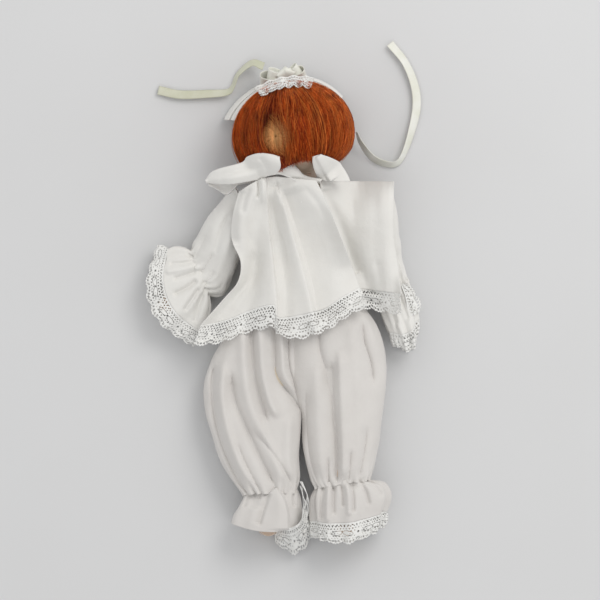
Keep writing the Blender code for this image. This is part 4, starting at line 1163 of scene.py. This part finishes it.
def make_head():
    rows, columns = 200, 300
    turn = np.linspace(0, 2 * math.pi, columns, endpoint=False)[None]
    lift = np.linspace(-1.0, 1.0, rows)[:, None] * (math.pi / 2 - 0.02)
    sphere = np.dstack([np.cos(lift) * np.sin(turn), np.sin(lift) + 0 * turn, np.cos(lift) * np.cos(turn)])
    skull = sphere * SKULL
    jaw = smoothstep((-skull[..., 1] - 4) / 16)
    skull[..., 0] *= 1 - 0.18 * jaw
    ahead = smoothstep(-sphere[..., 2] / 0.25)
    relief = np.zeros(ahead.shape)
    for right, up, width, height, out in FACE + FACE_PAIRS + [(-row[0], *row[1:]) for row in FACE_PAIRS]:
        relief += out * np.exp(-((skull[..., 0] - right) / width) ** 2 - ((skull[..., 1] - up) / height) ** 2)
    skull = skull + sphere * (relief * ahead)[..., None]
    for side in (-1, 1):
        ear = np.exp(-((skull[..., 1] + 1) / 3.2) ** 2 - ((skull[..., 2] + 1) / 1.8) ** 2)
        skull[..., 0] += side * 1.8 * ear * (skull[..., 0] * side > 0)
    caps = [head_points(skull)]
    neck = spline([(-5.2, 8.2), (-4.0, 8.5), (-3.0, 6.4), (1.0, 6.2), (7.0, 6.8), (14.0, 7.6)], 40)
    turn = np.linspace(0, 2 * math.pi, 72, endpoint=False)
    ring = np.cos(turn)[:, None] * HEAD_RIGHT + np.sin(turn)[:, None] * UP
    caps.append(NECK + neck[:, None, 0:1] * HEAD_UP + neck[:, None, 1:2] * ring[None])
    fused("porcelain_head_bisque", [(grid, True, None) for grid in caps], "porcelain_head", "head",
          voxel=0.34)
    for side in SIDES:
        low, high = box_mm("eye_" + side)
        mesh = bpy.data.meshes.new("eye")
        ball = bmesh.new()
        bmesh.ops.create_uvsphere(ball, u_segments=48, v_segments=32, radius=(high[0] - low[0]) / 2 * MM)
        for vert in ball.verts:
            vert.co += Vector((low + high) / 2 * MM)
        ball.to_mesh(mesh)
        ball.free()
        eye = add_mesh("eye_" + side + "_glass", mesh, eye_material("eye_" + side, (low + high) / 2))
        stand_for(eye, "eye_" + side, "eye_glass", "head")


def eye_material(name, middle):
    """Glass with a white, a grey-blue iris and a dark pupil, which look straight ahead."""
    material, tree, shader = shader_material(name, (0.85, 0.84, 0.80), 0.06, Coat_Weight=1.0,
                                             Coat_Roughness=0.02)
    away = distance_from(tree, place_in_mm(tree), middle - UP * 3.6)
    share = node(tree, "Math", {0: away, 1: 4.0}, operation="DIVIDE").outputs[0]
    ramp = node(tree, "ValToRGB", {"Fac": share})
    stops = [(0.0, (0.01, 0.01, 0.012)), (0.19, (0.01, 0.01, 0.012)), (0.22, (0.10, 0.19, 0.27)),
             (0.40, (0.20, 0.32, 0.40)), (0.46, (0.03, 0.06, 0.09)), (0.50, (0.84, 0.83, 0.80))]
    elements = ramp.color_ramp.elements
    for position, colour in stops[1:-1]:
        elements.new(position)
    for element, (position, colour) in zip(elements, stops):
        element.position = position
        element.color = (*colour, 1)
    tree.links.new(ramp.outputs["Color"], shader.inputs["Base Color"])
    return material


def close_rings(piece):
    """Caps the open ends of tubes so that a remesh reads them as solid."""
    body = bmesh.new()
    body.from_mesh(piece.data)
    rims = [edge for edge in body.edges if edge.is_boundary]
    bmesh.ops.holes_fill(body, edges=rims, sides=0)
    bmesh.ops.recalc_face_normals(body, faces=body.faces)
    body.to_mesh(piece.data)
    body.free()


def soften(piece, passes):
    body = bmesh.new()
    body.from_mesh(piece.data)
    for _ in range(passes):
        bmesh.ops.smooth_vert(body, verts=body.verts, factor=0.5, use_axis_x=True, use_axis_y=True,
                              use_axis_z=True)
    body.to_mesh(piece.data)
    body.free()
    piece.data.shade_smooth()


def hair_point(longitude, latitude, proud):
    """A place on the wig, by degrees around the head from its back and degrees up from its middle."""
    longitude, latitude = np.radians(longitude), np.radians(latitude)
    local = np.stack([np.cos(latitude) * np.sin(longitude) * (HAIR[0] + proud),
                      np.sin(latitude) * (HAIR[1] + proud),
                      np.cos(latitude) * np.cos(longitude) * (HAIR[2] + proud)], -1)
    points = head_points(local)
    points[..., 2] = np.maximum(points[..., 2], HAIR_FLOOR)
    return points


def hair_bottom(longitude):
    """The degrees up from the head's middle where the hair is cut: higher on the nape and forehead."""
    nape = -43.0 + 8.0 * np.exp(-((longitude - 6.0) / 24.0) ** 2)
    return np.where(np.abs(longitude) > 124, 42.0, nape)


def strands(name, material, count, seed, radius, proud):
    """Hair that falls from the top of the head over its back, its sides and the fringe, in locks.
    Each strand is a thin three-sided tube, proud millimetres over the shell."""
    random = np.random.default_rng(seed)
    steps, lock_size = 15, 5
    locks = count // lock_size
    lock_way = random.uniform(-180, 180, locks)
    lock_sway = random.normal(0, 5.0, locks)
    lock_lean = random.normal(0, 4.0, locks)
    lock_lift = random.normal(0, 0.45, locks)
    lock_phase = random.uniform(0, 6.28, locks)
    progress = np.linspace(0, 1, steps)
    tubes = []
    for index in range(locks * lock_size):
        lock = index // lock_size
        longitude = lock_way[lock] + random.normal(0, 4.0)
        top = random.uniform(66, 89) if random.uniform() < 0.7 else random.uniform(5, 70)
        bottom = hair_bottom(longitude) + random.normal(0, 2.2)
        latitude = top + (bottom - top) * progress
        sway = (lock_sway[lock] + random.normal(0, 1.2)) * np.sin(3.2 * progress + lock_phase[lock])
        lean = (lock_lean[lock] + random.normal(0, 2.2)) * progress
        spread = longitude * (1 - 0.10 * progress) + sway + lean
        lift = proud + lock_lift[lock] + random.normal(0, 0.22)
        lift = lift + 0.3 * np.sin(5 * progress + lock_phase[lock])
        if random.uniform() < 0.03:
            lift = lift + 1.6 * progress
        lift = lift - 1.6 * smoothstep((-latitude - 25) / 18)
        middle = hair_point(spread, latitude, lift)
        # the crown is thin: most strands stay off it and the rest are pushed aside
        nearby = np.linalg.norm(middle - CROWN_SPOT, axis=1)
        if nearby.min() < 5.5 and random.uniform() < 0.9:
            continue
        middle = middle + (middle - CROWN_SPOT) / nearby[:, None] * 3.0 * np.exp(-(nearby / 6) ** 2)[:, None]
        ahead = np.gradient(middle, axis=0)
        beside = unit(np.cross(ahead, middle - HEAD_MIDDLE))
        out = unit(np.cross(beside, ahead))
        thin = radius * (0.35 + 0.65 * np.sin(0.25 + 2.75 * progress))[:, None, None]
        tubes.append(ring_around(middle, beside, out, 3, thin, 0.6))
    strand_object(name, np.array(tubes), material)


def strand_object(name, tubes, material):
    count, steps, around = tubes.shape[:3]
    template = quads_of(steps, around, True)
    quads = (template[None] + (np.arange(count) * steps * around)[:, None, None]).reshape(-1, 4)
    mesh = bpy.data.meshes.new(name)
    mesh.from_pydata((tubes.reshape(-1, 3) * MM).tolist(), [], quads.tolist())
    piece = add_mesh(name, mesh, material)
    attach(piece, "head")


def crown_wisps(material):
    """Fine short hairs that spread from the crown over its thin place."""
    random = np.random.default_rng(5)
    wisps, steps = 420, 10
    tubes = []
    for _ in range(wisps):
        way = random.uniform(0, 2 * math.pi)
        reach = random.uniform(5, 12)
        start = random.uniform(0.3, 2.0)
        distance = np.linspace(start, reach, steps)
        curl = way + 0.35 * np.linspace(0, 1, steps) ** 2
        offset = CROWN_SPOT[:2] + np.stack([np.cos(curl), np.sin(curl)], 1) * distance[:, None]
        z = hair_top(offset[None], 0.35 + random.uniform(0, 0.5))[0]
        middle = np.column_stack([offset, z])
        beside = unit(np.cross(np.gradient(middle, axis=0), UP))
        tubes.append(ring_around(middle, beside, UP[None], 3, 0.07))
    strand_object("crown_wisps", np.array(tubes), material)


def make_hair():
    base = hair_colour("hair_base", (0.180, 0.020, 0.004), (0.66, 0.26, 0.085), 0.6)
    longitude = np.linspace(-180, 180, 361)[None]
    bottom = smooth(np.repeat(hair_bottom(longitude), 3, 0), 4)[1][None]
    top = 89.0
    latitude = np.linspace(0, 1, 120)[:, None] * (bottom - top) + top
    grids = []
    for proud in (-0.5, -5.5):
        points = hair_point(longitude, latitude, proud)
        points += 0.35 * wobble(points.shape[:2], 5, 81)[..., None] * (points - HEAD_MIDDLE) / 30
        grids.append((points, False, None))
    rim = np.stack([points[-1] for points, _, _ in grids])
    grids.append((rim, False, None))
    shell = surface("wig_hair_base", grids, base, 0)
    stand_for(shell, "wig_hair", "hair", "head")
    tones = [
        # colour, colour at the crown, strands, radius, height over the shell
        ("wig_locks_dark", (0.215, 0.025, 0.004), (0.62, 0.22, 0.07), 1700, 0.20, 0.1),
        ("wig_locks_auburn", (0.355, 0.049, 0.006), (0.69, 0.27, 0.085), 2300, 0.13, 0.35),
        ("wig_locks_copper", (0.475, 0.080, 0.010), (0.75, 0.31, 0.10), 2300, 0.10, 0.6),
        ("wig_locks_light", (0.66, 0.175, 0.034), (0.80, 0.38, 0.14), 1200, 0.085, 0.85),
    ]

    for number, (name, tone, crown, count, radius, proud) in enumerate(tones):
        strands(name, hair_colour(name, tone, crown), count, 90 + number, radius, proud)
    crown_wisps(hair_colour("crown_wisp", (0.62, 0.24, 0.07), (0.88, 0.47, 0.19)))


def around_head(degrees, width, height, z):
    turn = np.radians(degrees)
    place = (HEAD_MIDDLE + HEAD_RIGHT * (np.cos(turn) * width)[..., None]
             + HEAD_UP * (np.sin(turn) * height)[..., None])
    place[..., 2] = z
    return place


def make_bonnet():
    degrees = np.linspace(28, 152, 220)[None]
    leftward = np.maximum(0, -np.cos(np.radians(degrees + 20)))
    down = np.linspace(0, 1, 40)[:, None]
    low, high = box_mm("bonnet_brim")
    grids = []
    # two layers: inner and outer half width, and how much lower the layer lies
    for layer, (inner, outer, sink) in enumerate(((28.6, 31.6, 0.0), (28.6, 31.0, 1.6))):
        width = inner - 1.6 * leftward + (outer + 7.0 * leftward - inner) * down
        height = 24.2 + (29.4 - 24.2) * down
        z = high[2] - sink + (low[2] + 1.6 - high[2]) * down
        z = z + 2.4 * np.sin(math.pi * down) ** 0.8 * (1 - layer) - 2.2 * np.exp(-((down - 0.66) / 0.05) ** 2)
        points = around_head(degrees + 0 * down, width, height, z + 0.35 * np.sin(degrees / 6) * down)
        grids.append((settle(points), False, None))
    brim = surface("bonnet_brim_cloth", grids, COTTON)
    stand_for(brim, "bonnet_brim", "cotton", "head")
    declare_sheet(grids[0][0], area=sum(area_of(grid[0]) for grid in grids))

    run, depth = 45.6, 9.0
    rows, columns = lace_counts(run, depth)
    share = np.linspace(0, 1, rows)[:, None]
    degrees = np.linspace(116, 62, columns)[None]
    ripple = np.sin(np.linspace(0, 31, columns))[None]
    spread = 1.16 - 0.24 * share + 0.012 * ripple
    place = around_head(degrees + 0 * share, HAIR[0] * spread, HAIR[1] * spread, 0.0)
    lifted = np.maximum(hair_top(place[..., :2], 1.6), 11.0)
    place[..., 2] = smooth(lifted, 30) + (1.2 * ripple + 0.8) * (0.3 + share)
    lace = lace_strip("bonnet_lace_net", place, run, depth)
    stand_for(lace, "bonnet_lace", "lace", "head")
    declare_sheet(place, area=area_of(place) * LACE_FILL)


# Ribbons

RIBBON_WIDTH = 4.5
SATIN = 0.25                    # thickness of a ribbon
RIBBON_ROUTES = {
    # place, then how far the ribbon stands on edge, 0 to 1
    "right": [(28.2, 84.0, 9.0, 0.9), (30.5, 78.5, 5.6, 0.7), (36.0, 71.4, 3.2, 0.5), (42.5, 68.2, 3.0, 0.5),
              (48.6, 68.4, 3.0, 0.6), (52.6, 74.5, 3.0, 0.6), (56.4, 86.5, 2.6, 0.4), (58.4, 97.5, 2.2, 0.2),
              (57.2, 108.0, 2.2, 0.3), (52.6, 119.0, 2.2, 0.4), (45.0, 128.5, 1.6, 0.3)],
    "left": [(-18.2, 116.8, 9.0, 0.3), (-24.0, 118.6, 6.5, 0.5), (-31.0, 113.0, 4.4, 0.7),
             (-33.6, 107.0, 3.4, 0.7), (-36.6, 104.0, 3.0, 0.5), (-45.7, 103.2, 2.2, 0.3),
             (-60.0, 102.8, 1.8, 0.2), (-71.0, 105.0, 1.4, 0.1)],
}


def ribbon_strip(route, count, across=9):
    """A flat ribbon along a route whose fourth number is how far it stands on edge, 0 to 1."""
    places = spline(route, count)
    middle = places[:, :3].copy()
    ahead = np.gradient(middle, axis=0)
    beside = unit(np.stack([-ahead[:, 1], ahead[:, 0], np.zeros(count)], 1))
    lean = places[:, 3:4] * math.pi / 2
    half = (beside * np.cos(lean) + UP * np.sin(lean)) * RIBBON_WIDTH / 2
    middle[:, 2] = np.maximum(middle[:, 2], np.abs(half[:, 2]) + 0.8)
    share = np.linspace(-1, 1, across)
    cup = 0.25 * (1 - share**2)
    points = middle[:, None] + half[:, None] * share[None, :, None]
    points[..., 2] += cup[None]
    return points, middle


def make_ribbons():
    for side, count in (("right", 150), ("left", 110)):
        points, middle = ribbon_strip(RIBBON_ROUTES[side], count)
        ribbon = surface("ribbon_" + side + "_satin", [(points, False, None)], RIBBONS[side], SATIN)
        stand_for(ribbon, "ribbon_" + side, "ribbon")
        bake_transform(ribbon)
        length_of(middle) * MM
        [tuple(point * MM) for point in middle]


def bow_loop(start, way, reach, height, width, lean):
    """One puffed loop of a bow: a closed band that leaves the knot and comes back to it."""
    turn = np.linspace(0, 2 * math.pi, 60)
    out = (1 - np.cos(turn)) / 2 * reach
    bulge = np.sin(turn) * height * (0.4 + 0.6 * (1 - np.cos(turn)) / 2)
    side = np.cross(UP, way)
    middle = start + out[:, None] * way + bulge[:, None] * (UP * math.cos(lean) + side * math.sin(lean))
    half = side * math.cos(lean) - UP * math.sin(lean)
    spread = width / 2 * (0.45 + 0.55 * np.sin(turn / 2))
    share = np.linspace(-1, 1, 9)
    points = middle[:, None] + half * spread[:, None, None] * share[None, :, None]
    return points, False, None


def make_bow():
    low, high = box_mm("ribbon_bow")
    knot = (low + high) / 2 + np.array([-1.4, -2.6, 2.0])
    grids = []
    loops = ((172, 13.5, 3.8, 7.5, 0.9), (158, 10.0, 3.4, 7.0, 0.4), (8, 9.5, 3.6, 7.0, -0.9),
             (28, 8.0, 3.2, 6.5, -0.3), (200, 7.0, 3.0, 6.0, 0.6), (120, 5.0, 3.0, 6.5, 0.2),
             (64, 5.0, 3.0, 6.0, -0.2))
    for degrees, reach, puff, width, lean in loops:
        turn = math.radians(degrees)
        way = HEAD_RIGHT * math.cos(turn) + HEAD_UP * math.sin(turn)
        grids.append(bow_loop(knot + UP * (5 - reach * 0.35), way, reach, puff, width, lean))
    bow = surface("ribbon_bow_satin", grids, BOW_SATIN, SATIN)
    stand_for(bow, "ribbon_bow", "ribbon", "head")


# Porcelain limbs and the stuffed body

# each limb's direction in plan
LIMB_AIMS = {"arm_left": (-0.66, -0.751), "arm_right": (0.38, -0.925),
             "leg_left": (-0.035, -0.999), "leg_right": (0.085, -0.996)}
LEG_REACH, CUFF_AT = 96.0, 43.0  # from the joint to the sole and to the end of the cloth arm
HAND_Z, SOLE_Z = 7.6, 17.6


def limb_axis(limb, side):
    """A function that places points along a limb, and the limb's direction."""
    pivot = pivot_of(limb, side) / MM
    aim = unit(np.array([*LIMB_AIMS[limb + "_" + side], 0.0]))
    end_z, level_at = (HAND_Z, CUFF_AT) if limb == "arm" else (SOLE_Z, LEG_REACH)

    def at(along, aside=0.0, over=0.0):
        level = min(along / level_at, 1.0)
        beside = np.array([-aim[1], aim[0], 0.0])
        place = pivot + aim * along + beside * aside
        place[2] = pivot[2] + (end_z - pivot[2]) * level + over
        return place

    return at, aim


def round_loft(places, sides=28):
    """Rings across a line of (place, half width, half thickness, thickness direction)."""
    middles = np.array([place[0] for place in places])
    ahead = np.gradient(middles, axis=0)
    table = spline([(*place[0], place[1], place[2]) for place in places], 8 * len(places))
    direction = spline(ahead, 8 * len(places))
    direction = unit(direction)
    reference = places[0][3]
    wide = unit(np.cross(direction, reference))

    thick = np.cross(wide, direction)
    turn = np.linspace(0, 2 * math.pi, sides, endpoint=False)
    ring = (wide[:, None] * (np.cos(turn)[None] * table[:, 3:4])[..., None]
            + thick[:, None] * (np.sin(turn)[None] * table[:, 4:5])[..., None])
    return table[:, None, :3] + ring, True, None


def fused(name, grids, node_name, body, voxel):
    """Porcelain: solids melted into one skin."""
    piece = surface(name, grids, PORCELAIN, 0)
    close_rings(piece)
    remesh = piece.modifiers.new("fuse", "REMESH")
    remesh.mode = "VOXEL"
    remesh.voxel_size = voxel * MM
    apply_modifiers(piece)
    soften(piece, 3)
    stand_for(piece, node_name, "porcelain", body)


def round_along(at, rows):
    """Rings of (distance along the limb, half width, half thickness)."""
    return round_loft([(at(along), wide, thick, UP) for along, wide, thick in rows])


ARM_RINGS = [(29.4, 4.1, 4.1), (31.0, 4.0, 4.0), (32.4, 3.1, 3.1), (35.0, 3.1, 3.1), (37, 4.2, 4.2),
             (44, 4.1, 4.1), (50, 3.4, 3.3), (54, 3.0, 2.9), (57, 3.9, 2.5), (60.5, 4.3, 2.1),
             (62.6, 3.9, 1.6)]
LEG_RINGS = [(41.4, 4.1, 4.1), (43.0, 4.0, 4.0), (44.4, 3.1, 3.1), (47.0, 3.1, 3.1), (49.0, 4.9, 4.9),
             (56, 5.5, 5.6), (64, 5.4, 5.5), (76, 4.2, 4.2), (86, 3.7, 3.8), (92, 3.9, 4.2), (95.4, 3.2, 3.6)]
FINGERS = [(-2.9, 5.2, 0.9), (-1.0, 6.8, 0.7), (0.95, 6.6, 0.8), (2.8, 5.6, 1.0)]   # aside, length, curl
KNUCKLES = 61.0
# distance down from the ankle, half width and half thickness
FOOT_RINGS = [(-2, 3.4, 3.2), (2, 3.7, 3.5), (6, 4.2, 3.3), (9.5, 4.8, 2.7), (12.6, 4.7, 2.1),
              (14.6, 3.6, 1.5)]


def make_forearm(side):
    at, _ = limb_axis("arm", side)
    grids = [round_along(at, ARM_RINGS)]
    for aside, length, curl in FINGERS:
        grids.append(round_loft([(at(KNUCKLES - 2, aside * 0.9, 0.1), 0.95, 0.95, UP),
                                 (at(KNUCKLES + length * 0.45, aside * 1.05, 0.35), 0.9, 0.9, UP),
                                 (at(KNUCKLES + length * 0.8, aside * 1.08, 0.0), 0.8, 0.8, UP),
                                 (at(KNUCKLES + length, aside * 1.05, -curl), 0.45, 0.45, UP)], 16))
    way = 1 if side == "left" else -1
    grids.append(round_loft([(at(56.0, 2.6 * way), 1.2, 1.2, UP), (at(59.5, 4.8 * way, -0.2), 1.15, 1.1, UP),
                             (at(62.4, 6.0 * way, -0.4), 1.0, 0.95, UP),
                             (at(64.4, 6.4 * way, -0.6), 0.5, 0.5, UP)], 16))
    fused("forearm_" + side + "_bisque", grids, "forearm_" + side, "arm_" + side, voxel=0.26)


def make_lower_leg(side):
    at, aim = limb_axis("leg", side)
    ankle = at(LEG_REACH - 5.5)
    foot = [(ankle - UP * depth + aim * (6.8 - thick * 0.9), wide, thick, aim)
            for depth, wide, thick in FOOT_RINGS]
    grids = [round_along(at, LEG_RINGS), round_loft(foot)]
    across = np.array([-aim[1], aim[0], 0.0])
    for toe in range(-2, 3):
        tip = ankle - UP * (15.6 - 0.3 * abs(toe)) + aim * 5.0 + across * (toe * 1.75)
        grids.append(round_loft([(tip + UP * 3, 0.95, 0.95, aim), (tip + UP * 1.2, 0.95, 0.9, aim),
                                 (tip, 0.55, 0.55, aim)], 14))
    fused("lower_leg_" + side + "_bisque", grids, "lower_leg_" + side, "leg_" + side, voxel=0.3)


def make_limbs():
    for side in SIDES:
        make_forearm(side)
        make_lower_leg(side)


def soft_copy(node_name, ending, material, slot, body, fluff=0.0):
    """A rounded copy of a soft CAD solid."""
    mesh = frame["nodes"][node_name].data.copy()
    work = bmesh.new()
    work.from_mesh(mesh)
    bmesh.ops.remove_doubles(work, verts=work.verts, dist=0.002 * MM)
    bmesh.ops.join_triangles(work, faces=work.faces, angle_face_threshold=0.7, angle_shape_threshold=3.1)
    work.to_mesh(mesh)
    work.free()
    name = node_name + ending
    piece = add_mesh(name, mesh, material)
    division = piece.modifiers.new("round", "SUBSURF")
    division.levels = division.render_levels = 2
    apply_modifiers(piece)
    if fluff:
        random = np.random.default_rng(len(name))
        for vert in piece.data.vertices:
            vert.co += vert.normal * random.uniform(-fluff, 0) * MM
    piece.data.shade_smooth()
    stand_for(piece, node_name, slot, body)
    return piece


STUFFED = (("cover", MUSLIN, "muslin", 0), ("stuffing", STUFFING, "stuffing", 0.4))


def make_body():
    for kind, material, slot, fluff in STUFFED:
        soft_copy("torso_" + kind, "_soft", material, slot, "torso", fluff)
    soft_copy("neck_drawstring", "_twist", THREAD, "thread", "torso")
    soft_copy("waist_elastic", "_twist", THREAD, "elastic", "torso")
    for side in SIDES:
        for limb, part, elastic in (("arm", "upper_arm", "cuff_elastic"), ("leg", "thigh", "ankle_elastic")):
            body = limb + "_" + side
            _, aim = limb_axis(limb, side)
            for kind, material, slot, fluff in STUFFED:
                piece = soft_copy(part + "_" + kind + "_" + side, "_soft", material, slot, None, fluff)
                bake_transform(piece)
            soft_copy(limb + "_binding_" + side, "_twist", THREAD, "thread", body)
            soft_copy(elastic + "_" + side, "_twist", THREAD, "elastic", body)
    for node_name, material in (("wig_cap", NET), ("crown_pate", CARD)):
        frame["nodes"][node_name].material_slots[0].material = material


make_studio()
make_ribbons()
make_left_back()
make_right_back()
make_front()
make_pants()
make_sleeves()
make_ankles()
make_collars()
make_head()
make_hair()
make_bonnet()
make_bow()
make_limbs()
make_body()
